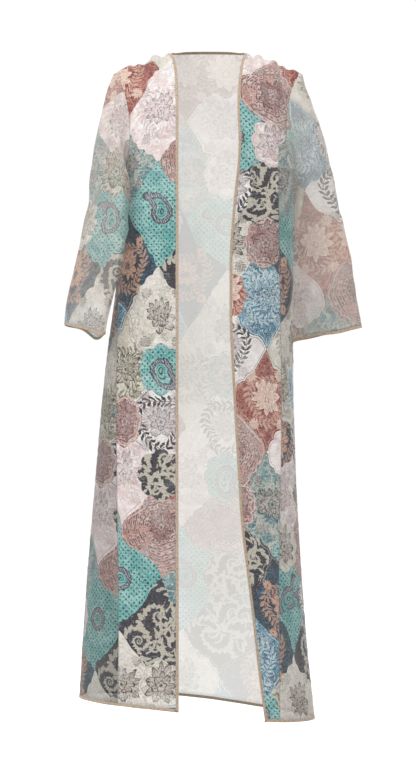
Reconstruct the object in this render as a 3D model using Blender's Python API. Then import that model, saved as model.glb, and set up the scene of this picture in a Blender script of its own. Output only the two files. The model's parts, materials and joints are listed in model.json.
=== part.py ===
"""Long open kimono jacket with set-in sleeves, filled out as if worn, with no wearer.

Metres, +Z up. The wearer faces -Y, so the wearer's right is at -X. The origin is on the
shoulder line, midway between the shoulders, where a wearer holds the garment up.
Every cloth panel is a wall of one thickness, built on rows of points that run from the
shoulder seams down to the hem. Panels that are sewn together share those points, and
stand a seam gap apart.
"""
import math

import bmesh
import bpy
import numpy as np

WALL = 0.0015
SEAM_GAP = 0.0003
UNDERARM_Z = -0.220
HEM_Z = -1.286
NECK_HALF = 0.078
NECK_DEPTH = 0.060
NECK_STAND = 0.0065
SHOULDER_NECK_Z = 0.014
SHOULDER_SLOPE = 0.34
SHOULDER_SPREAD = 0.206
BINDING_WIDTH = 0.0050
BINDING_LIFT = 0.0003
NECK_EASE = 0.0005

UPPER_ROWS = 12
LOWER_ROWS = 20
FRONT_COLUMNS = 16
BACK_SIDE_COLUMNS = 10
BACK_NECK_COLUMNS = 5
HEAD_RINGS = 6
SLEEVE_RINGS = 9

RIGHT, LEFT = -1, 1
FRONT, BACK = -1, 1

# The body's sides and depths, one row a height: right and left side x, front and back y.
BODY = {
    "z": (-0.22, -0.36, -0.48, -0.57, -0.71, -0.81, -0.92, -1.04, -1.16, -1.30),
    "right_x": (-0.170, -0.177, -0.187, -0.200, -0.215, -0.223, -0.232, -0.242, -0.250, -0.258),
    "left_x": (0.171, 0.171, 0.171, 0.171, 0.172, 0.175, 0.181, 0.189, 0.199, 0.215),
    "front_y": (-0.118, -0.118, -0.116, -0.118, -0.124, -0.129, -0.134, -0.139, -0.144, -0.150),
    "back_y": (0.112, 0.110, 0.106, 0.112, 0.122, 0.128, 0.134, 0.140, 0.145, 0.150),
}
# The front edges, from the neck point down.
RIGHT_EDGE = {
    "z": (0.014, -0.002, -0.025, -0.051, -0.10, -0.30, -0.80, -1.30),
    "x": (-0.078, -0.0705, -0.0665, -0.0640, -0.0630, -0.0628, -0.0628, -0.0618),
}
LEFT_EDGE = {
    "z": (0.014, -0.010, -0.063, -0.108, -0.187, -0.289, -0.383, -0.54, -0.719, -0.915, -1.05,
          -1.226, -1.32),
    "x": (0.078, 0.0705, 0.0630, 0.0618, 0.0660, 0.0550, 0.0470, 0.0470, 0.0568, 0.0685, 0.0850,
          0.1060, 0.1195),
}
# The cloth's lower edge, from the right side to the left: it hangs lower on the left.
HEM = {
    "x": (-0.26, -0.06, 0.12, 0.215),
    "z": (-1.267, -1.281, -1.304, -1.311),
}
# The armhole's distance from the middle, by height as a share from underarm to shoulder.
ARMHOLE = {
    "share": (0.0, 0.08, 0.25, 0.50, 0.75, 1.0),
    "x": (0.1705, 0.1630, 0.1560, 0.1570, 0.1660, 0.1840),
}
# Sleeve sections from the upper arm to the cuff: centre, half sizes of the flattened tube,
# how far its long side is turned, in degrees, from the outward direction to the back, and
# how far the section's outer end is tipped up.
SLEEVES = {
    RIGHT: {
        "z": (-0.262, -0.360, -0.470, -0.536),
        "x": (-0.1950, -0.2070, -0.2320, -0.2450),
        "y": (-0.034, -0.048, -0.052, -0.052),
        "wide": (0.066, 0.070, 0.070, 0.070),
        "deep": (0.026, 0.025, 0.024, 0.023),
        "turn": (58.0, 52.0, 54.0, 56.0),
        "tip": (0.0, 2.0, 6.0, 11.0),
    },
    LEFT: {
        "z": (-0.262, -0.370, -0.470, -0.542),
        "x": (0.1965, 0.2150, 0.2315, 0.2420),
        "y": (0.030, 0.048, 0.060, 0.068),
        "wide": (0.061, 0.071, 0.073, 0.074),
        "deep": (0.034, 0.031, 0.026, 0.021),
        "turn": (-34.0, -26.0, -18.0, -14.0),
        "tip": (0.0, 2.0, 5.0, 8.0),
    },
}
# Soft gathers that start at the shoulder seams: x, length down the front, height, width.
GATHERS = {
    "x": (-0.158, -0.128, -0.108, -0.092, 0.090, 0.103, 0.131, 0.160),
    "length": (0.09, 0.13, 0.17, 0.10, 0.10, 0.15, 0.12, 0.08),
    "height": (0.004, -0.004, 0.0075, -0.003, -0.003, 0.0065, 0.0055, -0.003),
    "width": (0.011, 0.008, 0.011, 0.007, 0.006, 0.009, 0.009, 0.010),
}
# Long creases of the hanging cloth: face, x at the top and bottom, where each starts and
# ends, how far it stands out (or in) and its half width.
CREASES = {
    "face": (FRONT, FRONT, FRONT, FRONT, FRONT, FRONT, BACK, BACK, BACK, BACK),
    "top_x": (-0.156, -0.120, -0.100, 0.140, 0.152, 0.098, -0.120, -0.040, 0.060, 0.130),
    "bottom_x": (-0.190, -0.216, -0.120, 0.166, 0.120, 0.150, -0.190, -0.060, 0.090, 0.160),
    "top_z": (-0.30, -0.62, -0.86, -0.30, -0.16, -0.92, -0.45, -0.70, -0.35, -0.62),
    "bottom_z": (-1.20, -1.40, -1.40, -0.72, -0.42, -1.40, -1.40, -1.40, -1.25, -1.40),
    "height": (-0.006, 0.006, -0.005, -0.005, 0.005, 0.006, 0.006, -0.006, 0.005, 0.006),
    "width": (0.016, 0.020, 0.022, 0.014, 0.016, 0.024, 0.030, 0.032, 0.034, 0.026),
}
# Creases round the sleeves: side, share of the way down, angle round, height and sizes.
SLEEVE_CREASES = {
    "side": (RIGHT, RIGHT, RIGHT, LEFT, LEFT, LEFT),
    "down": (0.52, 0.66, 0.80, 0.46, 0.62, 0.80),
    "angle": (70.0, 120.0, 60.0, 60.0, 110.0, 80.0),
    "height": (-0.004, 0.004, -0.003, 0.004, -0.004, 0.004),
    "length": (0.07, 0.08, 0.07, 0.09, 0.07, 0.10),
    "spread": (50.0, 40.0, 55.0, 45.0, 50.0, 40.0),
}
COLOURS = {
    "cloth": (0.42, 0.44, 0.42, 1.0),
    "binding": (0.58, 0.42, 0.26, 1.0),
}


def soft_step(value):
    """A smooth rise from 0 to 1."""
    value = min(max(value, 0.0), 1.0)
    return value * value * (3.0 - 2.0 * value)


def read(table, column, at, key="z", blur=0.03):
    """A column's value at a height, with the table's corners rounded off."""
    keys = np.array(table[key])
    values = np.array(table[column])
    order = np.argsort(keys)
    spots = at + blur * np.array((-1.0, -0.5, 0.0, 0.5, 1.0))
    return float(np.mean(np.interp(spots, keys[order], values[order])))


def shoulder_z(x):
    """Height of the shoulder seam, and of the raised back neck between the seams."""
    if abs(x) < NECK_HALF:
        return SHOULDER_NECK_Z + NECK_STAND * (1.0 - (x / NECK_HALF) ** 2)
    return SHOULDER_NECK_Z - SHOULDER_SLOPE * (abs(x) - NECK_HALF)


def top_y(x, face):
    """Depth of the panel's top line: the shoulder seam, or the curve of the back neck."""
    if face == FRONT or abs(x) >= NECK_HALF:
        return 0.0
    return NECK_DEPTH * (1.0 - (x / NECK_HALF) ** 2) ** 0.6


def edge_angle(distance, half):
    """Angle round the oval at which the cloth is this far from its middle."""
    return math.acos(min(max(distance / half, -1.0), 1.0))


def crease_height(face, x, z):
    """How far the long creases and the shoulder gathers move the cloth out."""
    total = 0.0
    for i, crease_face in enumerate(CREASES["face"]):
        if crease_face != face:
            continue
        top, bottom = CREASES["top_z"][i], CREASES["bottom_z"][i]
        share = (top - z) / (top - bottom)
        if not 0.0 < share < 1.0:
            continue
        line = CREASES["top_x"][i] + share * (CREASES["bottom_x"][i] - CREASES["top_x"][i])
        swell = soft_step(share * 3.0) * soft_step((1.0 - share) * 3.0)
        spread = CREASES["width"][i] * (0.7 + 0.6 * share)
        total += CREASES["height"][i] * swell * math.exp(-((x - line) / spread) ** 2)
    return total


def gather_height(face, x, z):
    """The gathers are full at the shoulder seam and fade down the front, soon on the back."""
    total = 0.0
    for i, line in enumerate(GATHERS["x"]):
        length = GATHERS["length"][i] * (1.0 if face == FRONT else 0.45)
        depth = max(shoulder_z(x) - z, 0.0)
        fade = 1.0 - soft_step(depth / length)
        drift = line * (1.0 + 0.6 * depth)
        total += GATHERS["height"][i] * fade * math.exp(-((x - drift) / GATHERS["width"][i]) ** 2)
    return total


def upper_point(face, side, share, angle):
    """A point above the underarm: share 0 is the underarm's height, 1 the shoulder seam."""
    right, left = BODY["right_x"][0], BODY["left_x"][0]
    middle = 0.5 * (left + right)
    half = 0.5 * (left - right)
    half += (SHOULDER_SPREAD - half) * share ** 1.5
    x = middle + side * half * math.cos(angle)
    depth = BODY["front_y"][0] if face == FRONT else BODY["back_y"][0]
    inside_neck = max(1.0 - abs(x) / NECK_HALF, 0.0) if face == BACK else 0.0
    roundness = 0.667 + 0.333 * soft_step(inside_neck * 2.0)
    swell = (1.0 - share ** 2.2) ** roundness
    y = depth * math.sin(angle) * swell + top_y(x, face) * (1.0 - swell)
    z = UNDERARM_Z + (shoulder_z(x) - UNDERARM_Z) * share
    return x, y, z


def lower_point(face, side, share, angle):
    """A point below the underarm: share 0 is the underarm's height, 1 the hem."""
    level = UNDERARM_Z + (HEM_Z - UNDERARM_Z) * share
    right, left = read(BODY, "right_x", level), read(BODY, "left_x", level)
    middle = 0.5 * (left + right)
    half = 0.5 * (left - right)
    depth = read(BODY, "front_y" if face == FRONT else "back_y", level)
    x = middle + side * half * math.cos(angle)
    y = depth * math.sin(angle)
    return x, y, level + (read(HEM, "z", x, "x") - HEM_Z) * share ** 2


def row_shares():
    """Rows from the shoulder down: (is above the underarm, share)."""
    rows = []
    for i in range(UPPER_ROWS):
        rows.append((True, math.sin(0.5 * math.pi * (1.0 - i / UPPER_ROWS)) ** 2))
    for i in range(LOWER_ROWS + 1):
        rows.append((False, i / LOWER_ROWS))
    return rows


def row_half(above, share):
    """Middle and half width of the oval in a row."""
    level = UNDERARM_Z if above else UNDERARM_Z + (HEM_Z - UNDERARM_Z) * share
    right, left = read(BODY, "right_x", level), read(BODY, "left_x", level)
    if above:
        right, left = BODY["right_x"][0], BODY["left_x"][0]
    half = 0.5 * (left - right)
    if above:
        half += (SHOULDER_SPREAD - half) * share ** 1.5
    return 0.5 * (left + right), half


def row_angles(face, side, above, share):
    """Angles of a row's points, from the armhole or side seam towards the middle."""
    middle, half = row_half(above, share)
    start = 0.0
    if above:
        start = edge_angle(read(ARMHOLE, "x", share, "share", 0.04) - side * middle, half)
        if share >= 1.0:
            start = edge_angle(ARMHOLE["x"][-1] - side * middle, half)
    if face == FRONT:
        table = RIGHT_EDGE if side == RIGHT else LEFT_EDGE
        level = UNDERARM_Z + (HEM_Z - UNDERARM_Z) * share
        if above:
            level = UNDERARM_Z + (SHOULDER_NECK_Z - UNDERARM_Z) * share
        blur = 0.03 * soft_step((SHOULDER_NECK_Z - level) / 0.1)
        stop = edge_angle(side * (read(table, "x", level, blur=blur) - middle), half)
        return np.linspace(start, stop, FRONT_COLUMNS + 1)
    corner = edge_angle(NECK_HALF - side * middle, half)
    centre = edge_angle(-side * middle, half)
    side_part = np.linspace(start, corner, BACK_SIDE_COLUMNS + 1)
    neck_part = np.linspace(corner, centre, BACK_NECK_COLUMNS + 1)
    return np.concatenate((side_part, neck_part[1:]))


def panel_rows(face, side):
    """The plain rows of one half of the body, before creases."""
    rows = []
    for above, share in row_shares():
        place = upper_point if above else lower_point
        angles = row_angles(face, side, above, share)
        rows.append([place(face, side, share, angle) for angle in angles])
    return np.array(rows)


def grid_normals(points, closed=False):
    """Unit normals of a grid of points, from the rows and columns next to each."""
    down = np.gradient(points, axis=0)
    if closed:
        across = np.roll(points, -1, axis=1) - np.roll(points, 1, axis=1)
    else:
        across = np.gradient(points, axis=1)
    normals = np.cross(across, down)
    return normals / np.linalg.norm(normals, axis=2, keepdims=True)


def facing(normals, points):
    """Turn a panel's normals away from the middle of the body."""
    row = len(points) // 2
    away = points[row] * np.array((1.0, 1.0, 0.0))
    sign = np.sign(np.sum(normals[row] * away))
    return normals * sign


def crease_rows(face, points, normals):
    """Move a panel's points out by its creases and gathers."""
    heights = [[crease_height(face, p[0], p[2]) + gather_height(face, p[0], p[2]) for p in row]
               for row in points]
    return points + normals * np.array(heights)[:, :, None]


def share_seam(first, second, rows):
    """Give two panels the mean of their normals along the seam at column 0."""
    mean = first[rows, 0] + second[rows, 0]
    mean /= np.linalg.norm(mean, axis=-1, keepdims=True)
    first[rows, 0] = mean
    second[rows, 0] = mean


def body_panels():
    """Points and normals of both fronts and of the back's two halves."""
    panels = {}
    for side in (RIGHT, LEFT):
        plain = {face: panel_rows(face, side) for face in (FRONT, BACK)}
        normals = {face: facing(grid_normals(plain[face]), plain[face]) for face in plain}
        share_seam(normals[FRONT], normals[BACK], np.arange(len(plain[FRONT])))
        slope = np.array((side * SHOULDER_SLOPE, 0.0, 1.0))
        slope /= np.linalg.norm(slope)
        normals[FRONT][0, :] = slope
        normals[BACK][0, :BACK_SIDE_COLUMNS + 1] = slope
        for face in (FRONT, BACK):
            panels[face, side] = (crease_rows(face, plain[face], normals[face]), normals[face])
    return panels


def whole_back(panels):
    """The back in one piece, from the right side seam to the left one."""
    right_points, right_normals = panels[BACK, RIGHT]
    left_points, left_normals = panels[BACK, LEFT]
    points = np.concatenate((right_points, left_points[:, -2::-1]), axis=1)
    normals = np.concatenate((right_normals, left_normals[:, -2::-1]), axis=1)
    centre = right_points.shape[1] - 1
    mean = right_normals[:, -1] + left_normals[:, -1]
    normals[:, centre] = mean / np.linalg.norm(mean, axis=1, keepdims=True)
    return points, normals


def pull_in(points, lines, gap):
    """Draw chosen border rows or columns of a grid back from a seam by a gap."""
    moved = points.copy()
    for line, inner in lines:
        step = points[inner] - points[line]
        step /= np.linalg.norm(step, axis=-1, keepdims=True)
        moved[line] = moved[line] + step * gap
    return moved


def new_object(name, bm, colour):
    """Put a finished mesh in the scene under its node's name."""
    bmesh.ops.recalc_face_normals(bm, faces=bm.faces)
    mesh = bpy.data.meshes.new(name)
    bm.to_mesh(mesh)
    bm.free()
    for polygon in mesh.polygons:
        polygon.use_smooth = True
    mesh.materials.append(material(colour))
    obj = bpy.data.objects.new(name, mesh)
    bpy.context.scene.collection.objects.link(obj)
    return obj


def material(name):
    """A plain material in the cloth's or the binding's mean colour."""
    if name in bpy.data.materials:
        return bpy.data.materials[name]
    finish = bpy.data.materials.new(name)
    finish.use_nodes = True
    shader = finish.node_tree.nodes["Principled BSDF"]
    shader.inputs["Base Color"].default_value = COLOURS[name]
    shader.inputs["Roughness"].default_value = 0.85
    shader.inputs["Metallic"].default_value = 0.0
    return finish


def wall(name, points, normals, colour, closed=False, thickness=WALL):
    """A closed wall: the outer grid, the same grid moved in, and the rims between."""
    inner = points - normals * thickness
    row_count, column_count = points.shape[:2]
    bm = bmesh.new()
    outer_verts = [[bm.verts.new(p) for p in row] for row in points]
    inner_verts = [[bm.verts.new(p) for p in row] for row in inner]
    spans = column_count if closed else column_count - 1
    for i in range(row_count - 1):
        for j in range(spans):
            k = (j + 1) % column_count
            bm.faces.new((outer_verts[i][j], outer_verts[i + 1][j], outer_verts[i + 1][k],
                          outer_verts[i][k]))
            bm.faces.new((inner_verts[i][j], inner_verts[i][k], inner_verts[i + 1][k],
                          inner_verts[i + 1][j]))
    for i, flip in ((0, False), (row_count - 1, True)):
        for j in range(spans):
            k = (j + 1) % column_count
            rim = (outer_verts[i][j], outer_verts[i][k], inner_verts[i][k], inner_verts[i][j])
            bm.faces.new(rim[::-1] if flip else rim)
    if not closed:
        for j, flip in ((0, True), (column_count - 1, False)):
            for i in range(row_count - 1):
                rim = (outer_verts[i][j], outer_verts[i + 1][j], inner_verts[i + 1][j],
                       inner_verts[i][j])
                bm.faces.new(rim if flip else rim[::-1])
    return new_object(name, bm, colour)


def strip(name, points, normals, away, closed=False):
    """A binding: a flat bar beside an edge, a seam gap away, a little proud of the wall."""
    near = points + away * SEAM_GAP
    far = points + away * (SEAM_GAP + BINDING_WIDTH)
    top = normals * BINDING_LIFT
    bottom = normals * (WALL + BINDING_LIFT)
    corners = (near + top, far + top, far - bottom, near - bottom)
    bm = bmesh.new()
    verts = [[bm.verts.new(p) for p in line] for line in corners]
    count = len(points)
    for i in range(count if closed else count - 1):
        k = (i + 1) % count
        for c in range(4):
            d = (c + 1) % 4
            bm.faces.new((verts[c][i], verts[d][i], verts[d][k], verts[c][k]))
    if not closed:
        bm.faces.new([verts[c][0] for c in range(4)])
        bm.faces.new([verts[c][-1] for c in range(4)][::-1])
    return new_object(name, bm, "binding")


def armhole_loop(panels, side):
    """Armhole points and normals: down the front from the shoulder, up the back."""
    front_points, front_normals = panels[FRONT, side]
    back_points, back_normals = panels[BACK, side]
    points = np.concatenate((front_points[:UPPER_ROWS + 1, 0], back_points[UPPER_ROWS - 1:0:-1, 0]))
    normals = np.concatenate((front_normals[:UPPER_ROWS + 1, 0],
                              back_normals[UPPER_ROWS - 1:0:-1, 0]))
    return points, normals


def sleeve_section(side, down):
    """Points of a sleeve section, share 0 at the upper arm and 1 at the cuff."""
    table = SLEEVES[side]
    z = table["z"][0] + (table["z"][-1] - table["z"][0]) * down
    step = 0.02
    centre = np.array((read(table, "x", z), read(table, "y", z), z))
    below = np.array((read(table, "x", z - step), read(table, "y", z - step), z - step))
    above = np.array((read(table, "x", z + step), read(table, "y", z + step), z + step))
    axis = below - above
    axis /= np.linalg.norm(axis)
    outward = np.array((float(side), 0.0, 0.0))
    axis = axis + outward * math.tan(math.radians(read(table, "tip", z)))
    axis /= np.linalg.norm(axis)
    outward -= axis * np.dot(outward, axis)
    outward /= np.linalg.norm(outward)
    forward = np.cross(outward, axis) * side
    forward /= np.linalg.norm(forward)
    if forward[1] > 0.0:
        forward = -forward
    turn = math.radians(read(table, "turn", z))
    wide, deep = read(table, "wide", z), read(table, "deep", z)
    long_way = outward * math.cos(turn) - forward * math.sin(turn)
    short_way = outward * math.sin(turn) + forward * math.cos(turn)
    count = 2 * UPPER_ROWS
    ring = []
    for j in range(count):
        angle = 2.0 * math.pi * j / count + turn
        ring.append(centre + long_way * wide * math.cos(angle) + short_way * deep * math.sin(angle))
    return np.array(ring), axis


def clear_of_body(point):
    """Press a sleeve point out to where it clears the body's side by a few millimetres."""
    x, y, z = point
    right, left = read(BODY, "right_x", z), read(BODY, "left_x", z)
    middle = 0.5 * (left + right)
    half = 0.5 * (left - right)
    depth = abs(read(BODY, "front_y" if y < 0.0 else "back_y", z))
    room = 0.011 * soft_step((UNDERARM_Z + 0.004 - z) / 0.03)
    reach = math.hypot((x - middle) / (half + room), y / (depth + room))
    if reach >= 1.0 or z > UNDERARM_Z + 0.004:
        return point
    return np.array((middle + (x - middle) / reach, y / reach, z))


def sleeve_crease(side, down, angle):
    """Height of the soft creases round a sleeve."""
    total = 0.0
    for i, crease_side in enumerate(SLEEVE_CREASES["side"]):
        if crease_side != side:
            continue
        along = (down - SLEEVE_CREASES["down"][i]) / SLEEVE_CREASES["length"][i]
        around = (angle - SLEEVE_CREASES["angle"][i] + 180.0) % 360.0 - 180.0
        slant = along - 0.012 * around
        total += SLEEVE_CREASES["height"][i] * math.exp(
            -slant ** 2 - (around / SLEEVE_CREASES["spread"][i]) ** 2)
    return total


def sleeve_rings(panels, side):
    """A sleeve from its armhole to its cuff, with the normals of its walls."""
    loop, loop_normals = armhole_loop(panels, side)
    along = np.roll(loop, -1, axis=0) - np.roll(loop, 1, axis=0)
    away = np.cross(along, loop_normals)
    away /= np.linalg.norm(away, axis=1, keepdims=True)
    away *= np.where(np.sum(away[0] * np.array((float(side), 0.0, 0.0))) > 0.0, 1.0, -1.0)
    start = loop + away * SEAM_GAP
    first, axis = sleeve_section(side, 0.0)
    height = (loop[:, 2] - UNDERARM_Z) / (loop[0, 2] - UNDERARM_Z)
    lean = np.stack((side * (0.95 - 0.29 * height), np.zeros(len(loop)), -0.15 - 0.60 * height),
                    axis=1) + away * 0.4 * (1.0 - height[:, None])
    lean /= np.linalg.norm(lean, axis=1, keepdims=True)
    reach = np.linalg.norm(first - loop, axis=1, keepdims=True)
    bow = reach * (0.95 - 0.55 * height[:, None])
    rings = [start]
    for i in range(1, HEAD_RINGS):
        t = i / HEAD_RINGS
        ring = (start * (2 * t ** 3 - 3 * t ** 2 + 1) + lean * bow * (t ** 3 - 2 * t ** 2 + t)
                + first * (3 * t ** 2 - 2 * t ** 3) + axis * reach * 1.1 * (t ** 3 - t ** 2))
        rings.append(ring)
    for i in range(SLEEVE_RINGS + 1):
        rings.append(sleeve_section(side, i / SLEEVE_RINGS)[0])
    rings = np.array([rings[0]] + [[clear_of_body(p) for p in ring] for ring in rings[1:]])
    normals = grid_normals(rings, closed=True)
    centre = rings[-1].mean(axis=0)
    normals *= np.sign(np.sum(normals[-1] * (rings[-1] - centre)))
    count = len(rings)
    heights = np.array([[sleeve_crease(side, i / (count - 1), 360.0 * j / rings.shape[1])
                         for j in range(rings.shape[1])] for i in range(count)])
    heights[:2] = 0.0
    rings = rings + normals * heights[:, :, None]
    lean_in = np.sum(normals[0] * away, axis=1, keepdims=True)
    first_normals = normals[0] - away * np.maximum(lean_in, 0.0)
    normals[0] = first_normals / np.linalg.norm(first_normals, axis=1, keepdims=True)
    return rings, normals


def edge_away(points, normals, inner, closed=False):
    """Unit steps that leave the cloth square to its edge, along its surface."""
    if closed:
        along = np.roll(points, -1, axis=0) - np.roll(points, 1, axis=0)
    else:
        along = np.gradient(points, axis=0)
    away = np.cross(along, normals)
    away /= np.linalg.norm(away, axis=1, keepdims=True)
    return away * np.sign(np.sum(away[0] * (points[0] - inner)))


def from_both_fronts(panels, back, line):
    """A line of points and normals from the right front, over the back, to the left front."""
    parts = []
    for side in (RIGHT, LEFT):
        picked = [values[line] for values in panels[FRONT, side]]
        parts.append([values[::-1] for values in picked] if side == RIGHT else picked)
    return [np.concatenate((parts[0][i], back[i], parts[1][i])) for i in range(2)]


def front_and_neck_edge(panels, back, hem_away):
    """The edge that one long binding follows: up the right front, round the neck, down.

    It runs on past the hem by a binding's width, to cover the ends of the hem's binding.
    """
    inside = slice(BACK_SIDE_COLUMNS + 1, back[0].shape[1] - 1 - BACK_SIDE_COLUMNS)
    points, normals = from_both_fronts(panels, [values[0, inside] for values in back],
                                       (slice(None), -1))
    away = edge_away(points, normals, panels[FRONT, RIGHT][0][-1, -2])
    corner = len(panels[FRONT, RIGHT][0]) - 1
    for i in (corner, corner + 1, -1 - corner, -2 - corner):
        points[i] += away[i] * NECK_EASE
    ends = [points[end] + hem_away[end] * (SEAM_GAP + BINDING_WIDTH) for end in (0, -1)]
    points = np.concatenate(([ends[0]], points, [ends[1]]))
    normals = np.concatenate((normals[:1], normals, normals[-1:]))
    return points, normals, np.concatenate((away[:1], away, away[-1:]))


def hem_edge(panels, back):
    """The hem that one binding follows, from the right front corner round to the left."""
    inside = slice(1, back[0].shape[1] - 1)
    points, normals = from_both_fronts(panels, [values[-1, inside] for values in back],
                                       (-1, slice(None)))
    return points, normals, edge_away(points, normals, panels[FRONT, RIGHT][0][-2, -1])


def main():
    for obj in list(bpy.data.objects):
        bpy.data.objects.remove(obj, do_unlink=True)
    panels = body_panels()
    back = whole_back(panels)
    half_gap = 0.5 * SEAM_GAP
    columns = (slice(None), 0), (slice(None), 1)
    last_columns = (slice(None), -1), (slice(None), -2)
    rows = (0, slice(None)), (1, slice(None))

    back_points = pull_in(back[0], (columns, last_columns, rows), half_gap)
    wall("back", back_points, back[1], "cloth")
    for side, word in ((RIGHT, "right"), (LEFT, "left")):
        points, normals = panels[FRONT, side]
        wall("front_" + word, pull_in(points, (columns, rows), half_gap), normals, "cloth")
        rings, ring_normals = sleeve_rings(panels, side)
        wall("sleeve_" + word, rings, ring_normals, "cloth", closed=True)
        away = edge_away(rings[-1], ring_normals[-1], rings[-2][0], closed=True)
        strip("binding_cuff_" + word, rings[-1], ring_normals[-1], away, closed=True)
    hem_points, hem_normals, hem_away = hem_edge(panels, back)
    strip("binding_hem", hem_points, hem_normals, hem_away)
    strip("binding_front_neck", *front_and_neck_edge(panels, back, hem_away))


main()
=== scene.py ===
# %% [markdown]
# A long open kimono jacket, filled out as if worn, with no wearer in it.
#
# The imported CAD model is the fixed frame. Its cloth solids are walls 1.5 mm thick with few faces,
# and real cloth is far thinner and finer. So each panel is made again here as a thin shell on the
# same form, with finer creases, and the CAD panels stay hidden for collision only.

# %% The frame
import json
import math
import bmesh
import bpy
import numpy as np
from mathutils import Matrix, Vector, noise
from types import SimpleNamespace

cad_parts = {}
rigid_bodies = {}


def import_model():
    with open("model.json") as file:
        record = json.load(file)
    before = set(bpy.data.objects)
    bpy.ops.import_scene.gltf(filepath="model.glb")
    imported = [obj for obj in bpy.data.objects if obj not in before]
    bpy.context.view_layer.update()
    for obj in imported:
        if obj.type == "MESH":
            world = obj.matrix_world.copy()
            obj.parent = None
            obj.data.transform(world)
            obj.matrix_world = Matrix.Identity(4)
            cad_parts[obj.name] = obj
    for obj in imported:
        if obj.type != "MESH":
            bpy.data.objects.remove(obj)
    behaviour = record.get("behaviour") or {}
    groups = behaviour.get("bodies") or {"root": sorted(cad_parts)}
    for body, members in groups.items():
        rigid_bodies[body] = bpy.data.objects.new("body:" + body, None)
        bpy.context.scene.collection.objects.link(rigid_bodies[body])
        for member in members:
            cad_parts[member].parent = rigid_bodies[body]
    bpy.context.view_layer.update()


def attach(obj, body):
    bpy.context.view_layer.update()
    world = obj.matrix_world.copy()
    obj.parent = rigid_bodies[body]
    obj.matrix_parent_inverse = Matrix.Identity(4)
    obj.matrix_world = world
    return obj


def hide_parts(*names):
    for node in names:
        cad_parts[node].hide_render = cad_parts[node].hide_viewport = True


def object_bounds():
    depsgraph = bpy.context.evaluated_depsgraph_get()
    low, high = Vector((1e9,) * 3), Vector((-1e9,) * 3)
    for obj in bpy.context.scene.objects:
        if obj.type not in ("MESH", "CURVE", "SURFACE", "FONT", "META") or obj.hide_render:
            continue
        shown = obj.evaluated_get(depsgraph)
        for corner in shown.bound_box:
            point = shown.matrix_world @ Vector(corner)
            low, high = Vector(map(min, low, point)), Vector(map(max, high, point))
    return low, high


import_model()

# %% [markdown]
# The photograph was taken with a level camera from straight in front, about 5.5 m away, at half
# the height of the garment. A long lens from far away keeps the garment's proportions. The
# camera is made first.

# %% The camera
PHOTO_HEIGHT, METRES_PER_PIXEL = 769, 0.002
CAMERA_DISTANCE, CAMERA_Z = 5.5, -0.648


def add_object(name, data):
    """A new object in the scene."""
    thing = bpy.data.objects.new(name, data)
    bpy.context.scene.collection.objects.link(thing)
    return thing


view_height = PHOTO_HEIGHT * METRES_PER_PIXEL
camera_data = bpy.data.cameras.new("camera")
camera_data.sensor_fit = "VERTICAL"
camera_data.angle = 2.0 * math.atan(0.5 * view_height / CAMERA_DISTANCE)
camera = add_object("camera", camera_data)
camera.location = (0.0, -CAMERA_DISTANCE, CAMERA_Z)
camera.rotation_euler = (math.radians(90.0), 0.0, 0.0)
bpy.context.scene.camera = camera
print("camera angle:", round(math.degrees(camera_data.angle), 2), "degrees")

# %% [markdown]
# The garment is lit as in a catalogue picture: it hangs over a pale round floor under a white sky,
# with one wide soft light from the front left, weaker ones from the other sides, and nothing
# that casts a hard shadow. The camera sees the sky at full white, but its light is held back a
# little, so that the soft lights can still model the folds.

# %% Floor
FLOOR_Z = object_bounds()[0][2] - 0.16
WHITE = (1.0, 1.0, 1.0, 1.0)
SKY_LIGHT, SKY_SEEN = 0.76, 1.02
FLOOR_LIGHT, FLOOR_SEEN = 0.04, 0.68


def lit_and_seen(tree, slot, lit, seen):
    """Give a socket one value for the light that things get, and another for the camera."""
    rays = tree.nodes.new("ShaderNodeLightPath")
    choice = tree.nodes.new("ShaderNodeMapRange")
    choice.inputs["To Min"].default_value = lit
    choice.inputs["To Max"].default_value = seen
    tree.links.new(rays.outputs["Is Camera Ray"], choice.inputs["Value"])
    tree.links.new(choice.outputs["Result"], slot)


bpy.ops.object.select_all(action="DESELECT")
bpy.ops.mesh.primitive_circle_add(vertices=96, radius=9.0, fill_type="NGON",
                                  location=(0.0, 0.0, FLOOR_Z))
floor = bpy.context.object
floor.name = "floor"
bpy.ops.object.transform_apply(location=True, rotation=True, scale=True)

paper = bpy.data.materials.new("white_paper")
paper.use_nodes = True
paper_shader = paper.node_tree.nodes["Principled BSDF"]
paper_shader.inputs["Base Color"].default_value = (0.50, 0.50, 0.50, 1.0)
paper_shader.inputs["Roughness"].default_value = 0.9
paper_shader.inputs["Emission Color"].default_value = WHITE
lit_and_seen(paper.node_tree, paper_shader.inputs["Emission Strength"], FLOOR_LIGHT, FLOOR_SEEN)
floor.data.materials.append(paper)
print("floor at", round(FLOOR_Z, 3))


# %% Lights and sky
def soft_light(name, place, size, watts):
    """A square area light that looks at the middle of the garment."""
    data = bpy.data.lights.new(name, "AREA")
    data.shape = "SQUARE"
    data.size = size
    data.energy = watts
    light = add_object(name, data)
    light.location = place
    aim = Vector((0.0, 0.0, CAMERA_Z)) - Vector(place)
    light.rotation_euler = aim.to_track_quat("-Z", "Y").to_euler()


soft_light("front_light", (-3.0, -3.4, 1.9), 1.3, 125.0)
soft_light("side_fill", (3.8, -2.0, 0.3), 2.2, 30.0)
soft_light("top_light", (0.4, -0.6, 3.2), 1.6, 26.0)
soft_light("back_light", (1.8, 4.0, 1.4), 2.4, 60.0)

sky = bpy.data.worlds.new("studio")
sky.use_nodes = True
background = sky.node_tree.nodes["Background"]
background.inputs["Color"].default_value = WHITE
lit_and_seen(sky.node_tree, background.inputs["Strength"], SKY_LIGHT, SKY_SEEN)
bpy.context.scene.world = sky
bpy.context.scene.view_settings.view_transform = "Standard"
print("lights:", len(bpy.data.lights), "sky:", SKY_LIGHT, "seen as", SKY_SEEN)

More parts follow.
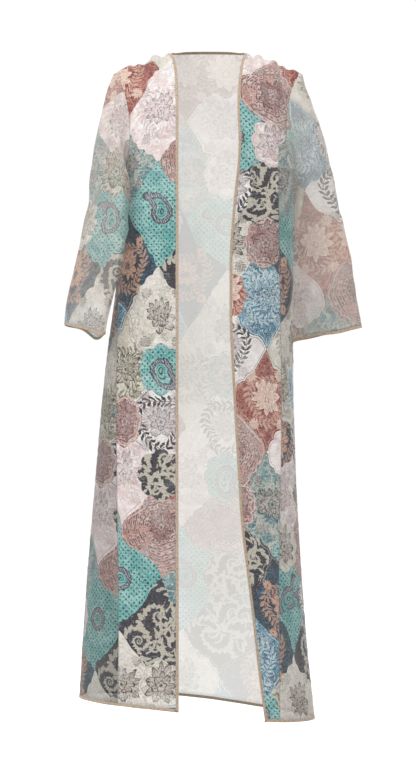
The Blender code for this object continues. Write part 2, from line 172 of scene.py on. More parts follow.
# %% [markdown]
# A pattern cutter gives a garment's form with a few measures at each height. The tables below do
# the same: where the sides are, how deep the body is, how the front edges, the armholes and the
# hem run. They are the CAD part's own sizes, in metres, so that each shell lies on its solid.

# %% The cut of the body
RIGHT, LEFT = -1, 1
FRONT, BACK = -1, 1
UNDERARM_Z, HEM_Z = -0.220, -1.286
NECK_HALF, NECK_DEPTH, NECK_STAND = 0.078, 0.060, 0.0065
SHOULDER_NECK_Z, SHOULDER_SLOPE, SHOULDER_SPREAD = 0.014, 0.34, 0.206

BODY = {
    "z": (-0.22, -0.36, -0.48, -0.57, -0.71, -0.81, -0.92, -1.04, -1.16, -1.30),
    "right_x": (-0.170, -0.177, -0.187, -0.200, -0.215, -0.223, -0.232, -0.242, -0.250, -0.258),
    "left_x": (0.171, 0.171, 0.171, 0.171, 0.172, 0.175, 0.181, 0.189, 0.199, 0.215),
    "front_y": (-0.118, -0.118, -0.116, -0.118, -0.124, -0.129, -0.134, -0.139, -0.144, -0.150),
    "back_y": (0.112, 0.110, 0.106, 0.112, 0.122, 0.128, 0.134, 0.140, 0.145, 0.150),
}
RIGHT_EDGE = {
    "z": (0.014, -0.002, -0.025, -0.051, -0.10, -0.30, -0.80, -1.30),
    "x": (-0.078, -0.0705, -0.0665, -0.0640, -0.0630, -0.0628, -0.0628, -0.0618),
}
LEFT_EDGE = {
    "z": (0.014, -0.010, -0.063, -0.108, -0.187, -0.289, -0.383, -0.54, -0.719, -0.915, -1.05,
          -1.226, -1.32),
    "x": (0.078, 0.0705, 0.0630, 0.0618, 0.0660, 0.0550, 0.0470, 0.0470, 0.0568, 0.0685, 0.0850,
          0.1060, 0.1195),
}
HEM = {"x": (-0.26, -0.06, 0.12, 0.215), "z": (-1.267, -1.281, -1.304, -1.311)}
ARMHOLE = {
    "share": (0.0, 0.08, 0.25, 0.50, 0.75, 1.0),
    "x": (0.1705, 0.1630, 0.1560, 0.1570, 0.1660, 0.1840),
}
print("widths of the body:", [round(left - right, 3)
                              for right, left in zip(BODY["right_x"], BODY["left_x"])])

# %% [markdown]
# The large gathers and creases are the solids' own. Real cloth has smaller ones between them, so
# a second table adds those. Each crease is one soft ridge or trough: it starts somewhere, swells,
# drifts sideways and dies away, and no two are alike.

# %% Creases placed one by one
GATHERS = {
    "x": (-0.158, -0.128, -0.108, -0.092, 0.090, 0.103, 0.131, 0.160),
    "length": (0.09, 0.13, 0.17, 0.10, 0.10, 0.15, 0.12, 0.08),
    "height": (0.004, -0.004, 0.0075, -0.003, -0.003, 0.0065, 0.0055, -0.003),
    "width": (0.011, 0.008, 0.011, 0.007, 0.006, 0.009, 0.009, 0.010),
}
FINE_GATHERS = {
    "x": (-0.171, -0.147, -0.138, -0.117, -0.098, -0.084, 0.083, 0.096, 0.111, 0.119, 0.142, 0.151,
          0.172),
    "length": (0.05, 0.07, 0.05, 0.12, 0.15, 0.06, 0.07, 0.12, 0.14, 0.06, 0.09, 0.05, 0.06),
    "height": (0.0016, -0.0018, 0.0014, -0.0022, 0.0020, 0.0012, 0.0012, 0.0018, -0.0024, 0.0014,
               -0.0018, 0.0014, 0.0016),
    "width": (0.0050, 0.0040, 0.0035, 0.0045, 0.0045, 0.0040, 0.0035, 0.0040, 0.0050, 0.0035,
              0.0045, 0.0040, 0.0050),
}
CREASES = {
    "face": (FRONT,) * 6 + (BACK,) * 4,
    "top_x": (-0.156, -0.120, -0.100, 0.140, 0.152, 0.098, -0.120, -0.040, 0.060, 0.130),
    "bottom_x": (-0.190, -0.216, -0.120, 0.166, 0.120, 0.150, -0.190, -0.060, 0.090, 0.160),
    "top_z": (-0.30, -0.62, -0.86, -0.30, -0.16, -0.92, -0.45, -0.70, -0.35, -0.62),
    "bottom_z": (-1.20, -1.40, -1.40, -0.72, -0.42, -1.40, -1.40, -1.40, -1.25, -1.40),
    "height": (-0.006, 0.006, -0.005, -0.005, 0.005, 0.006, 0.006, -0.006, 0.005, 0.006),
    "width": (0.016, 0.020, 0.022, 0.014, 0.016, 0.024, 0.030, 0.032, 0.034, 0.026),
}
FINE_CREASES = {
    "face": (FRONT,) * 10 + (BACK,) * 7,
    "top_x": (-0.143, -0.132, -0.082, -0.175, -0.150, 0.085, 0.120, 0.150, 0.158, 0.075, -0.140,
              -0.085, -0.010, 0.030, 0.095, 0.150, 0.000),
    "bottom_x": (-0.120, -0.152, -0.088, -0.205, -0.172, 0.078, 0.134, 0.172, 0.190, 0.100, -0.115,
                 -0.110, -0.025, 0.045, 0.100, 0.135, 0.010),
    "top_z": (-0.10, -0.28, -0.20, -0.52, -0.90, -0.14, -0.36, -0.48, -0.80, -0.60, -0.12, -0.30,
              -0.22, -0.55, -0.15, -0.25, -0.90),
    "bottom_z": (-0.36, -0.60, -0.66, -1.06, -1.40, -0.50, -0.88, -1.00, -1.40, -1.20, -0.50, -0.96,
                 -0.70, -1.20, -0.48, -0.72, -1.40),
    "height": (0.0032, -0.0029, 0.0020, 0.0035, -0.0032, 0.0026, -0.0026, 0.0032, -0.0035,
               0.0020, 0.0038, -0.0032, 0.0026, -0.0032, 0.0035, -0.0032, 0.0029),
    "width": (0.010, 0.008, 0.010, 0.009, 0.012, 0.009, 0.010, 0.008, 0.010, 0.014, 0.013, 0.016,
              0.014, 0.018, 0.012, 0.012, 0.020),
}
print("creases:", len(CREASES["face"]) + len(FINE_CREASES["face"]),
      "gathers:", len(GATHERS["x"]) + len(FINE_GATHERS["x"]))


# %% Reading the tables
def unit(vectors):
    """Vectors scaled to length 1."""
    return vectors / np.linalg.norm(vectors, axis=-1, keepdims=True)


def soft_step(value):
    """A smooth rise from 0 to 1."""
    value = np.clip(value, 0.0, 1.0)
    return value * value * (3.0 - 2.0 * value)


def read(table, column, at, key="z", blur=0.03):
    """A column's value at one or many heights, with the table's corners rounded off."""
    keys, values = np.array(table[key]), np.array(table[column])
    order = np.argsort(keys)
    spots = np.asarray(at)[..., None] + blur * np.array((-1.0, -0.5, 0.0, 0.5, 1.0))
    return np.interp(spots, keys[order], values[order]).mean(axis=-1)


def shoulder_z(x):
    """Height of the shoulder seam, and of the raised back neck between the seams."""
    reach = np.abs(x)
    neck = SHOULDER_NECK_Z + NECK_STAND * (1.0 - (reach / NECK_HALF) ** 2)
    seam = SHOULDER_NECK_Z - SHOULDER_SLOPE * (reach - NECK_HALF)
    return np.where(reach < NECK_HALF, neck, seam)


print("shoulder tip at", round(float(shoulder_z(ARMHOLE["x"][-1])), 4))


# %% Creases and gathers
def crease_height(table, face, x, z):
    """How far one table's creases move the cloth out, at arrays of places."""
    total = np.zeros_like(x)
    for i, crease_face in enumerate(table["face"]):
        if crease_face != face:
            continue
        top, bottom = table["top_z"][i], table["bottom_z"][i]
        share = (top - z) / (top - bottom)
        line = table["top_x"][i] + share * (table["bottom_x"][i] - table["top_x"][i])
        swell = soft_step(share * 3.0) * soft_step((1.0 - share) * 3.0)
        spread = table["width"][i] * (0.7 + 0.6 * np.clip(share, 0.0, 1.0))
        total += table["height"][i] * swell * np.exp(-((x - line) / spread) ** 2)
    return total


def gather_height(table, face, x, z):
    """How far one table's gathers lift the cloth: most at the shoulder seam, less below."""
    total = np.zeros_like(x)
    depth = np.maximum(shoulder_z(x) - z, 0.0)
    for i, line in enumerate(table["x"]):
        length = table["length"][i] * (1.0 if face == FRONT else 0.45)
        drift = line * (1.0 + 0.6 * depth)
        ridge = np.exp(-((x - drift) / table["width"][i]) ** 2)
        total += table["height"][i] * (1.0 - soft_step(depth / length)) * ridge
    return total


right_shoulder = gather_height(GATHERS, FRONT, np.array((-0.108,)), np.array((-0.05,)))
print("the gathers lift the right shoulder by", right_shoulder.round(4).item(), "m")

# %% [markdown]
# Each panel is a grid. Its rows run round the body, from the side seam to the front edge or the
# centre back, and its columns run down from the shoulder seam. A grid in code suits hanging cloth
# better than a plane that is pushed about, because the same row can be read again for the seam,
# the binding and the print's own measures.

# %% Angles round the body
UPPER_ROWS, LOWER_ROWS = 60, 110
FRONT_COLUMNS, BACK_SIDE_COLUMNS, BACK_NECK_COLUMNS = 84, 52, 26


def edge_angle(distance, half):
    """Angle round the oval at which the cloth is this far from its middle."""
    return math.acos(min(max(distance / half, -1.0), 1.0))


def row_half(above, share):
    """Middle and half width of the oval in a row."""
    level = UNDERARM_Z if above else UNDERARM_Z + (HEM_Z - UNDERARM_Z) * share
    right, left = float(read(BODY, "right_x", level)), float(read(BODY, "left_x", level))
    half = 0.5 * (left - right)
    if above:
        half += (SHOULDER_SPREAD - half) * share ** 1.5
    return 0.5 * (left + right), half


def row_angles(face, side, above, share):
    """Angles of a row's points, from the armhole or side seam towards the middle."""
    middle, half = row_half(above, share)
    start = 0.0
    if above:
        armhole = ARMHOLE["x"][-1] if share >= 1.0 else float(
            read(ARMHOLE, "x", share, "share", 0.04))
        start = edge_angle(armhole - side * middle, half)
        start *= math.tanh(1.6 * math.sqrt(share / 0.017))
    if face == FRONT:
        table = RIGHT_EDGE if side == RIGHT else LEFT_EDGE
        level = UNDERARM_Z + (HEM_Z - UNDERARM_Z) * share
        if above:
            level = UNDERARM_Z + (SHOULDER_NECK_Z - UNDERARM_Z) * share
        blur = 0.03 * float(soft_step((SHOULDER_NECK_Z - level) / 0.1))
        edge = float(read(table, "x", level, blur=blur))
        return np.linspace(start, edge_angle(side * (edge - middle), half), FRONT_COLUMNS + 1)
    corner = edge_angle(NECK_HALF - side * middle, half)
    centre = edge_angle(-side * middle, half)
    side_part = np.linspace(start, corner, BACK_SIDE_COLUMNS + 1)
    neck_part = np.linspace(corner, centre, BACK_NECK_COLUMNS + 1)
    return np.concatenate((side_part, neck_part[1:]))


print("half width at the underarm:", round(row_half(False, 0.0)[1], 3))


# %% Rows of the body
def upper_row(face, side, share):
    """A row above the underarm: share 0 is the underarm's height, 1 the shoulder seam."""
    middle, half = row_half(True, share)
    angle = row_angles(face, side, True, share)
    x = middle + side * half * np.cos(angle)
    inside_neck = np.maximum(1.0 - np.abs(x) / NECK_HALF, 0.0) * (face == BACK)
    swell = (1.0 - share ** 2.2) ** (0.667 + 0.333 * soft_step(inside_neck * 2.0))
    curve = np.clip(1.0 - (x / NECK_HALF) ** 2, 0.0, 1.0) ** 0.6 * NECK_DEPTH * (face == BACK)
    depth = float(read(BODY, "front_y" if face == FRONT else "back_y", UNDERARM_Z))
    y = depth * np.sin(angle) * swell + curve * (1.0 - swell)
    return np.stack((x, y, UNDERARM_Z + (shoulder_z(x) - UNDERARM_Z) * share), axis=1)


def lower_row(face, side, share):
    """A row below the underarm: share 0 is the underarm's height, 1 the hem."""
    level = UNDERARM_Z + (HEM_Z - UNDERARM_Z) * share
    middle, half = row_half(False, share)
    angle = row_angles(face, side, False, share)
    x = middle + side * half * np.cos(angle)
    y = float(read(BODY, "front_y" if face == FRONT else "back_y", level)) * np.sin(angle)
    return np.stack((x, y, level + (read(HEM, "z", x, "x") - HEM_Z) * share ** 2), axis=1)


def panel_rows(face, side):
    """The plain rows of one half of the body, before creases."""
    rows = [upper_row(face, side, math.sin(0.5 * math.pi * (1.0 - i / UPPER_ROWS)) ** 2)
            for i in range(UPPER_ROWS)]
    rows += [lower_row(face, side, i / LOWER_ROWS) for i in range(LOWER_ROWS + 1)]
    return np.array(rows)


print("rows:", UPPER_ROWS + LOWER_ROWS + 1, "columns of a front:", FRONT_COLUMNS + 1)

# %% [markdown]
# Creases move a point along the cloth's normal, and the normal comes from the rows and columns
# next to it. Three small things are added to the large folds: fine gathers, a slow ripple from
# a noise that is stretched down the cloth, and a shallow ditch along each seam, where the thread
# draws the cloth in and leaves tiny puckers. All of them fade out at the seams, so two panels
# that are sewn together still meet.

# %% Normals and lengths of a grid
def grid_normals(points, closed=False):
    """Unit normals of a grid of points."""
    down = np.gradient(points, axis=0)
    if closed:
        across = np.roll(points, -1, axis=1) - np.roll(points, 1, axis=1)
    else:
        across = np.gradient(points, axis=1)
    return unit(np.cross(across, down))


def facing(normals, points):
    """Turn a panel's normals away from the middle of the body."""
    row = len(points) // 2
    away = points[row] * np.array((1.0, 1.0, 0.0))
    return normals * np.sign(np.sum(normals[row] * away))


def arc_lengths(points, axis, zero):
    """Distance along each row or column from a chosen line."""
    steps = np.linalg.norm(np.diff(points, axis=axis), axis=2)
    start = np.zeros_like(np.take(steps, [0], axis=axis))
    lengths = np.cumsum(np.concatenate((start, steps), axis=axis), axis=axis)
    return lengths - np.take(lengths, [zero], axis=axis)


side_seam = panel_rows(FRONT, LEFT)[UPPER_ROWS:, :1]
print("left side seam:", round(float(arc_lengths(side_seam, 0, 0)[-1, 0]), 3), "m")

# %% Ripples and seam ditches
DITCH_DEPTH, DITCH_WIDTH, PUCKER = 0.0014, 0.0045, 0.00055
RIPPLE, RIPPLE_SCALE = 0.0017, 0.045


def ripple(points, scale, seed):
    """A slow unevenness, several times longer down the cloth than across it."""
    heights = np.empty(points.shape[:2])
    for i, row in enumerate(points):
        for j, (x, y, z) in enumerate(row):
            spot = Vector((x / scale, y / scale, z / (scale * 3.5) + seed))
            heights[i, j] = noise.noise(spot) + 0.5 * noise.noise(spot * 2.3)
    return heights


def ditch(distance, along):
    """A seam's ditch and its puckers, from the distance to the seam and along it."""
    dip = -DITCH_DEPTH * np.exp(-(distance / DITCH_WIDTH) ** 2)
    pucker = np.sin(along / 0.0017) * np.sin(along / 0.0061 + 1.0) + np.sin(along / 0.0029)
    fade = soft_step(distance / 0.004) * np.exp(-distance / 0.012)
    return dip + PUCKER * pucker * fade


def share_seam(first, second, rows):
    """Give two panels the mean of their normals along the seam at column 0."""
    mean = unit(first[rows, 0] + second[rows, 0])
    first[rows, 0] = second[rows, 0] = mean


at_seam, off_seam = ditch(np.array((0.0, 0.01)), np.array((0.0, 0.0)))
print("a seam's ditch:", round(at_seam * 1000, 2), "mm, and 1 cm off it:",
      round(off_seam * 1000, 2), "mm")


# %% Half panels
def finish_half(face, side, plain, normals):
    """Crease one half panel, and measure it flat: points, normals and flat places."""
    x, z = plain[:, :, 0], plain[:, :, 2]
    from_side = arc_lengths(plain, 1, 0)
    down = -arc_lengths(plain, 0, UPPER_ROWS)
    from_top = arc_lengths(plain, 0, 0)
    calm = soft_step(from_side / 0.025) * soft_step(from_top / 0.03)
    calm *= soft_step((down - down[-1:]) / 0.05) * 0.6 + 0.4
    height = crease_height(CREASES, face, x, z) + gather_height(GATHERS, face, x, z)
    height += gather_height(FINE_GATHERS, face, x, z) * soft_step(from_side / 0.012)
    height += crease_height(FINE_CREASES, face, x, z) * soft_step(from_side / 0.02)
    height += RIPPLE * ripple(plain, RIPPLE_SCALE, 3.1 * face + 7.7 * side) * calm
    height += ditch(from_side, down)
    neck = soft_step((np.abs(x[:1]) - NECK_HALF) / 0.01) if face == BACK else 1.0
    height += ditch(from_top, x) * neck
    across = -arc_lengths(plain, 1, plain.shape[1] - 1) * side
    return plain + normals * height[:, :, None], normals, np.stack((across, down), axis=2)


halves = {}
for side in (RIGHT, LEFT):
    plain = {face: panel_rows(face, side) for face in (FRONT, BACK)}
    normals = {face: facing(grid_normals(plain[face]), plain[face]) for face in plain}
    share_seam(normals[FRONT], normals[BACK], np.arange(len(plain[FRONT])))
    slope = unit(np.array((side * SHOULDER_SLOPE, 0.0, 1.0)))
    normals[FRONT][0, :] = slope
    normals[BACK][0, :BACK_SIDE_COLUMNS + 1] = slope
    for face in plain:
        halves[face, side] = finish_half(face, side, plain[face], normals[face])
print("points in a front:", halves[FRONT, RIGHT][0].shape)

# %% [markdown]
# A set-in sleeve starts on the armhole loop, leans out of it and settles into a flattened tube.
# Each ring has as many points as the loop, so point by point the sleeve can be blended from the
# loop to the upper arm with a smooth curve, then read from a table of sections down to the cuff.
# The sleeve head is a little fuller than the armhole, and that ease shows as soft pleats. At the
# cuff the edge sags a few millimetres here and there (angle, width in degrees, drop in metres).

# %% Sizes of the sleeves
HEAD_RINGS, SLEEVE_RINGS = 36, 54
SLEEVE_RIPPLE, SLEEVE_RIPPLE_SCALE, HEAD_ROLL, BODY_ROOM = 0.0054, 0.040, 0.0012, 0.011
SLEEVES = {
    RIGHT: {
        "z": (-0.262, -0.360, -0.470, -0.536),
        "x": (-0.1950, -0.2070, -0.2320, -0.2450),
        "y": (-0.034, -0.048, -0.052, -0.052),
        "wide": (0.066, 0.070, 0.070, 0.070),
        "deep": (0.026, 0.025, 0.024, 0.023),
        "turn": (58.0, 52.0, 54.0, 56.0),
        "tip": (0.0, 2.0, 6.0, 11.0),
    },
    LEFT: {
        "z": (-0.262, -0.370, -0.470, -0.542),
        "x": (0.1965, 0.2150, 0.2315, 0.2420),
        "y": (0.030, 0.048, 0.060, 0.068),
        "wide": (0.061, 0.071, 0.073, 0.074),
        "deep": (0.034, 0.031, 0.026, 0.021),
        "turn": (-34.0, -26.0, -18.0, -14.0),
        "tip": (0.0, 2.0, 5.0, 8.0),
    },
}
for side, table in SLEEVES.items():
    print("sleeve", side, "is", round(2 * table["wide"][-1], 3), "m wide at the cuff")

# %% Creases, pleats and sags of the sleeves
SLEEVE_CREASES = {
    "side": (RIGHT,) * 3 + (LEFT,) * 3,
    "down": (0.52, 0.66, 0.80, 0.46, 0.62, 0.80),
    "angle": (70.0, 120.0, 60.0, 60.0, 110.0, 80.0),
    "height": (-0.004, 0.004, -0.003, 0.004, -0.004, 0.004),
    "length": (0.07, 0.08, 0.07, 0.09, 0.07, 0.10),
    "spread": (50.0, 40.0, 55.0, 45.0, 50.0, 40.0),
}
FINE_SLEEVE_CREASES = {
    "side": (RIGHT,) * 6 + (LEFT,) * 6,
    "down": (0.30, 0.42, 0.57, 0.62, 0.74, 0.90, 0.28, 0.40, 0.54, 0.70, 0.76, 0.90),
    "angle": (100.0, 250.0, 150.0, 300.0, 30.0, 110.0, 80.0, 200.0, 30.0, 140.0, 290.0, 60.0),
    "height": (-0.0033, 0.0030, 0.0033, -0.0030, 0.0033, -0.0024, 0.0033, -0.0033, 0.0030,
               -0.0030, 0.0033, -0.0024),
    "length": (0.030, 0.035, 0.028, 0.040, 0.032, 0.030, 0.032, 0.036, 0.030, 0.034, 0.040, 0.028),
    "spread": (34.0, 40.0, 30.0, 45.0, 36.0, 40.0, 32.0, 44.0, 34.0, 30.0, 46.0, 38.0),
}
HEAD_PLEATS = {
    "side": (RIGHT,) * 6 + (LEFT,) * 6,
    "angle": (-46.0, -24.0, -7.0, 12.0, 31.0, 52.0, -50.0, -29.0, -10.0, 8.0, 27.0, 45.0),
    "height": (0.0020, 0.0030, 0.0024, 0.0034, 0.0026, 0.0018, 0.0018, 0.0028, 0.0034, 0.0022,
               0.0030, 0.0020),
    "length": (0.10, 0.17, 0.12, 0.20, 0.14, 0.09, 0.09, 0.15, 0.19, 0.11, 0.17, 0.10),
    "width": (5.0, 6.0, 4.5, 6.0, 5.5, 5.0, 5.5, 6.0, 5.5, 4.5, 6.0, 5.0),
}
CUFF_SAG = {
    RIGHT: ((210.0, 24.0, 0.0125), (158.0, 18.0, -0.0034), (108.0, 14.0, 0.0022),
            (62.0, 16.0, -0.0018), (300.0, 30.0, 0.0020)),
    LEFT: ((194.0, 24.0, 0.0030), (120.0, 16.0, -0.0018), (80.0, 14.0, 0.0016),
           (250.0, 30.0, 0.0025), (320.0, 25.0, -0.0015)),
}
print("creases on the sleeves:", len(SLEEVE_CREASES["side"]) + len(FINE_SLEEVE_CREASES["side"]),
      "pleats:", len(HEAD_PLEATS["side"]))


# %% Sections of a sleeve
def sleeve_section(side, down):
    """Points of a sleeve section and its axis, share 0 at the upper arm and 1 at the cuff."""
    table = SLEEVES[side]
    z = table["z"][0] + (table["z"][-1] - table["z"][0]) * down
    step = 0.02
    centre, below, above = (np.array((read(table, "x", at), read(table, "y", at), at))
                            for at in (z, z - step, z + step))
    outward = np.array((float(side), 0.0, 0.0))
    tip = math.tan(math.radians(float(read(table, "tip", z))))
    axis = unit(unit(below - above) + outward * tip)
    outward = unit(outward - axis * np.dot(outward, axis))
    forward = np.cross(outward, axis)
    forward *= -np.sign(forward[1]) / np.linalg.norm(forward)
    turn = math.radians(float(read(table, "turn", z)))
    long_way = outward * math.cos(turn) - forward * math.sin(turn)
    short_way = outward * math.sin(turn) + forward * math.cos(turn)
    angle = (np.arange(2 * UPPER_ROWS) * math.pi / UPPER_ROWS + turn)[:, None]
    ring = centre + long_way * float(read(table, "wide", z)) * np.cos(angle)
    return ring + short_way * float(read(table, "deep", z)) * np.sin(angle), axis


def clear_of_body(ring):
    """Press a ring's points out to where they clear the body's side by a few millimetres."""
    x, y, z = ring.T
    right, left = read(BODY, "right_x", z), read(BODY, "left_x", z)
    middle, half = 0.5 * (left + right), 0.5 * (left - right)
    depth = np.abs(np.where(y < 0.0, read(BODY, "front_y", z), read(BODY, "back_y", z)))
    room = BODY_ROOM * soft_step((UNDERARM_Z + 0.004 - z) / 0.03)
    reach = np.hypot((x - middle) / (half + room), y / (depth + room))
    reach = np.where((reach >= 1.0) | (z > UNDERARM_Z + 0.004), 1.0, reach)
    return np.stack((middle + (x - middle) / reach, y / reach, z), axis=1)


upper_arm, arm_axis = sleeve_section(RIGHT, 0.0)
print("points in a ring:", len(upper_arm), "axis:", arm_axis.round(2).tolist())


# %% Heights round a sleeve
def sleeve_crease(table, side, down, angle):
    """Height of one table's creases round a sleeve, at arrays of places."""
    total = np.zeros_like(down)
    for i, crease_side in enumerate(table["side"]):
        if crease_side != side:
            continue
        along = (down - table["down"][i]) / table["length"][i]
        around = (angle - table["angle"][i] + 180.0) % 360.0 - 180.0
        slant = along - 0.012 * around * (0.07 / table["length"][i]) ** 0.5
        total += table["height"][i] * np.exp(-slant ** 2 - (around / table["spread"][i]) ** 2)
    return total


def head_pleats(side, down, angle):
    """Height of the soft pleats that the sleeve head's ease makes below the shoulder."""
    total = np.zeros_like(down)
    for i, pleat_side in enumerate(HEAD_PLEATS["side"]):
        if pleat_side != side:
            continue
        around = (angle - HEAD_PLEATS["angle"][i] * (1.0 + down) + 180.0) % 360.0 - 180.0
        fade = soft_step(down / 0.02) * (1.0 - soft_step(down / HEAD_PLEATS["length"][i]))
        ridge = np.exp(-(around / (HEAD_PLEATS["width"][i] * (1.0 + 2.0 * down))) ** 2)
        total += HEAD_PLEATS["height"][i] * fade * ridge
    return total


one_pleat = head_pleats(RIGHT, np.array((0.02,)), np.array((-7.0,)))
print("a pleat below the right shoulder:", one_pleat.round(4).item())


# %% Finish of a sleeve
def finish_sleeve(side, rings, normals, away):
    """Crease a sleeve, and measure it flat from the line that runs down from the shoulder."""
    count, around = rings.shape[:2]
    down = np.repeat(np.arange(count)[:, None] / (count - 1), around, axis=1)
    angle = np.repeat(360.0 * np.arange(around)[None] / around, count, axis=0)
    length = arc_lengths(rings, 0, 0)
    calm = soft_step(length / 0.02)
    height = sleeve_crease(SLEEVE_CREASES, side, down, angle) * soft_step(down / 0.1)
    height += sleeve_crease(FINE_SLEEVE_CREASES, side, down, angle) * calm
    free = 1.0 - 0.6 * np.exp(-((angle - 180.0) / 50.0) ** 2)
    height += head_pleats(side, down, angle)
    height += SLEEVE_RIPPLE * ripple(rings, SLEEVE_RIPPLE_SCALE, 20.0 * side) * calm * free
    height += HEAD_ROLL * (1.0 - np.exp(-length / 0.003)) * np.exp(-length / 0.03)
    height[0] = 0.0
    points = rings + normals * height[:, :, None]
    for centre, width, drop in CUFF_SAG[side]:
        near = np.exp(-(((angle - centre + 180.0) % 360.0 - 180.0) / width) ** 2)
        points[:, :, 2] -= drop * near * soft_step((down - 0.90) / 0.10)
    lean_in = np.maximum(np.sum(normals[0] * away, axis=1, keepdims=True), 0.0)
    normals[0] = unit(normals[0] - away * lean_in)
    wrapped = np.concatenate((rings, rings[:, :1]), axis=1)
    girth = arc_lengths(wrapped, 1, 0)
    across = np.roll(girth[:, :-1], -UPPER_ROWS, axis=1)
    across = np.where(np.arange(around) < UPPER_ROWS, across - girth[:, -1:], across)
    drop = np.roll(-arc_lengths(rings, 0, HEAD_RINGS), -UPPER_ROWS, axis=1)
    flat = np.stack((across, drop), axis=2)
    closing = np.stack((across[:, :1] + girth[:, -1:], drop[:, :1]), axis=2)
    return points, normals, np.concatenate((flat, closing), axis=1)


print("the cuffs sag in", len(CUFF_SAG[RIGHT]) + len(CUFF_SAG[LEFT]), "places")


# %% Rings of a sleeve
def sleeve_rings(side):
    """A sleeve from its armhole to its cuff: points, normals and flat places."""
    front, back = halves[FRONT, side], halves[BACK, side]
    loop, loop_normals = (np.concatenate((front[k][:UPPER_ROWS + 1, 0],
                                          back[k][UPPER_ROWS - 1:0:-1, 0])) for k in (0, 1))
    along = np.roll(loop, -1, axis=0) - np.roll(loop, 1, axis=0)
    away = unit(np.cross(along, loop_normals))
    away *= np.sign(away[0, 0] * side)
    start = loop + away * 0.0001
    first, axis = sleeve_section(side, 0.0)
    height = ((loop[:, 2] - UNDERARM_Z) / (loop[0, 2] - UNDERARM_Z))[:, None]
    lean = np.concatenate((side * (0.95 - 0.29 * height), 0.0 * height, -0.15 - 0.60 * height),
                          axis=1)
    lean = unit(lean + away * 0.4 * (1.0 - height))
    reach = np.linalg.norm(first - loop, axis=1, keepdims=True)
    bow = reach * (0.95 - 0.55 * height)
    rings = [start]
    for t in np.arange(1, HEAD_RINGS) / HEAD_RINGS:
        rings.append(start * (2 * t ** 3 - 3 * t ** 2 + 1) + lean * bow * (t ** 3 - 2 * t ** 2 + t)
                     + first * (3 * t ** 2 - 2 * t ** 3) + axis * reach * 1.1 * (t ** 3 - t ** 2))
    rings += [sleeve_section(side, i / SLEEVE_RINGS)[0] for i in range(SLEEVE_RINGS + 1)]
    rings = np.array([rings[0]] + [clear_of_body(ring) for ring in rings[1:]])
    normals = grid_normals(rings, closed=True)
    normals *= np.sign(np.sum(normals[-1] * (rings[-1] - rings[-1].mean(axis=0))))
    return finish_sleeve(side, rings, normals, away)


sleeves = {side: sleeve_rings(side) for side in (RIGHT, LEFT)}
print("points in a sleeve:", sleeves[RIGHT][0].shape)

# %% [markdown]
# Each panel becomes a closed shell 0.7 mm thick: the creased grid outside, the same grid moved
# in along its normals inside, and narrow rims between. A closed shell has a right side and a
# wrong side, so the wrong side can get its own paler material, as the back of printed cloth has.
# Its UV map holds metres of flat cloth, so that the print and the weave keep their true scale.

# %% Faces, and a mesh with a flat map
def grid_faces(rows, columns, closed):
    """Corners of a grid's faces, as row and column numbers."""
    spans = columns if closed else columns - 1
    i, j = np.meshgrid(np.arange(rows - 1), np.arange(spans), indexing="ij")
    i, j = i.ravel(), j.ravel()
    return np.stack((i, i + 1, i + 1, i), axis=1), np.stack((j, j, j + 1, j + 1), axis=1)


def border(rows, columns, closed):
    """Short edges of a grid's border, as row and column numbers."""
    spans = columns if closed else columns - 1
    j, i = np.arange(spans), np.arange(rows - 1)
    pairs = [np.stack((np.full_like(j, row), j, np.full_like(j, row), j + 1), axis=1)
             for row in (0, rows - 1)]
    if not closed:
        pairs += [np.stack((i, np.full_like(i, column), i + 1, np.full_like(i, column)), axis=1)
                  for column in (0, columns - 1)]
    return np.concatenate(pairs)


def mesh_piece(name, verts, faces, places, wrong_side, cap_ends=False):
    """A smooth closed mesh, with its flat UV map and its two sides' material numbers."""
    mesh = bpy.data.meshes.new(name)
    mesh.from_pydata(verts.reshape(-1, 3).tolist(), [], faces.tolist())
    mesh.uv_layers.new(name="flat").data.foreach_set("uv", places.reshape(-1))
    mesh.polygons.foreach_set("material_index", wrong_side.astype(np.int32))
    bm = bmesh.new()
    bm.from_mesh(mesh)
    if cap_ends:
        bmesh.ops.holes_fill(bm, edges=[edge for edge in bm.edges if edge.is_boundary], sides=0)
    bmesh.ops.recalc_face_normals(bm, faces=bm.faces)
    bm.to_mesh(mesh)
    bm.free()
    mesh.shade_smooth()
    return add_object(name, mesh)


print("edges round a front:", len(border(*halves[FRONT, RIGHT][0].shape[:2], False)))

# %% Shells and their flat measures
SHELL = 0.0007
print("thickness of the shells:", SHELL * 1000.0, "mm")


def shell(name, points, normals, flat, closed=False):
    """A closed shell of cloth: faces outside first, then inside, then the rims."""
    rows, columns = points.shape[:2]
    count = rows * columns
    i, j = grid_faces(rows, columns, closed)
    outer = i * columns + j % columns
    edges = border(rows, columns, closed)
    first = edges[:, 0] * columns + edges[:, 1] % columns
    second = edges[:, 2] * columns + edges[:, 3] % columns
    rims = np.stack((first, second, second + count, first + count), axis=1)
    faces = np.concatenate((outer, outer[:, ::-1] + count, rims))
    rim_i, rim_j = edges[:, (0, 2, 2, 0)], edges[:, (1, 3, 3, 1)]
    flat_i = np.concatenate((i, i[:, ::-1], rim_i))
    flat_j = np.concatenate((j, j[:, ::-1], rim_j))
    wrong_side = np.arange(len(faces)) // len(outer) == 1
    return mesh_piece(name, np.stack((points, points - normals * SHELL)), faces,
                      flat[flat_i, flat_j], wrong_side)


def sew_in(name, node, points, normals, flat, closed=False):
    """Make a cloth panel, attach it to the root body, and hide the CAD node that it stands for."""
    piece = shell(name, points, normals, flat, closed)
    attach(piece, "root")
    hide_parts(node)
    return piece


# %% The five cloth panels
right_half, left_half = halves[BACK, RIGHT], halves[BACK, LEFT]
back_parts = [np.concatenate((right_half[k], left_half[k][:, -2::-1]), axis=1) for k in range(3)]
middle_column = right_half[0].shape[1] - 1
back_parts[1][:, middle_column] = unit(right_half[1][:, -1] + left_half[1][:, -1])

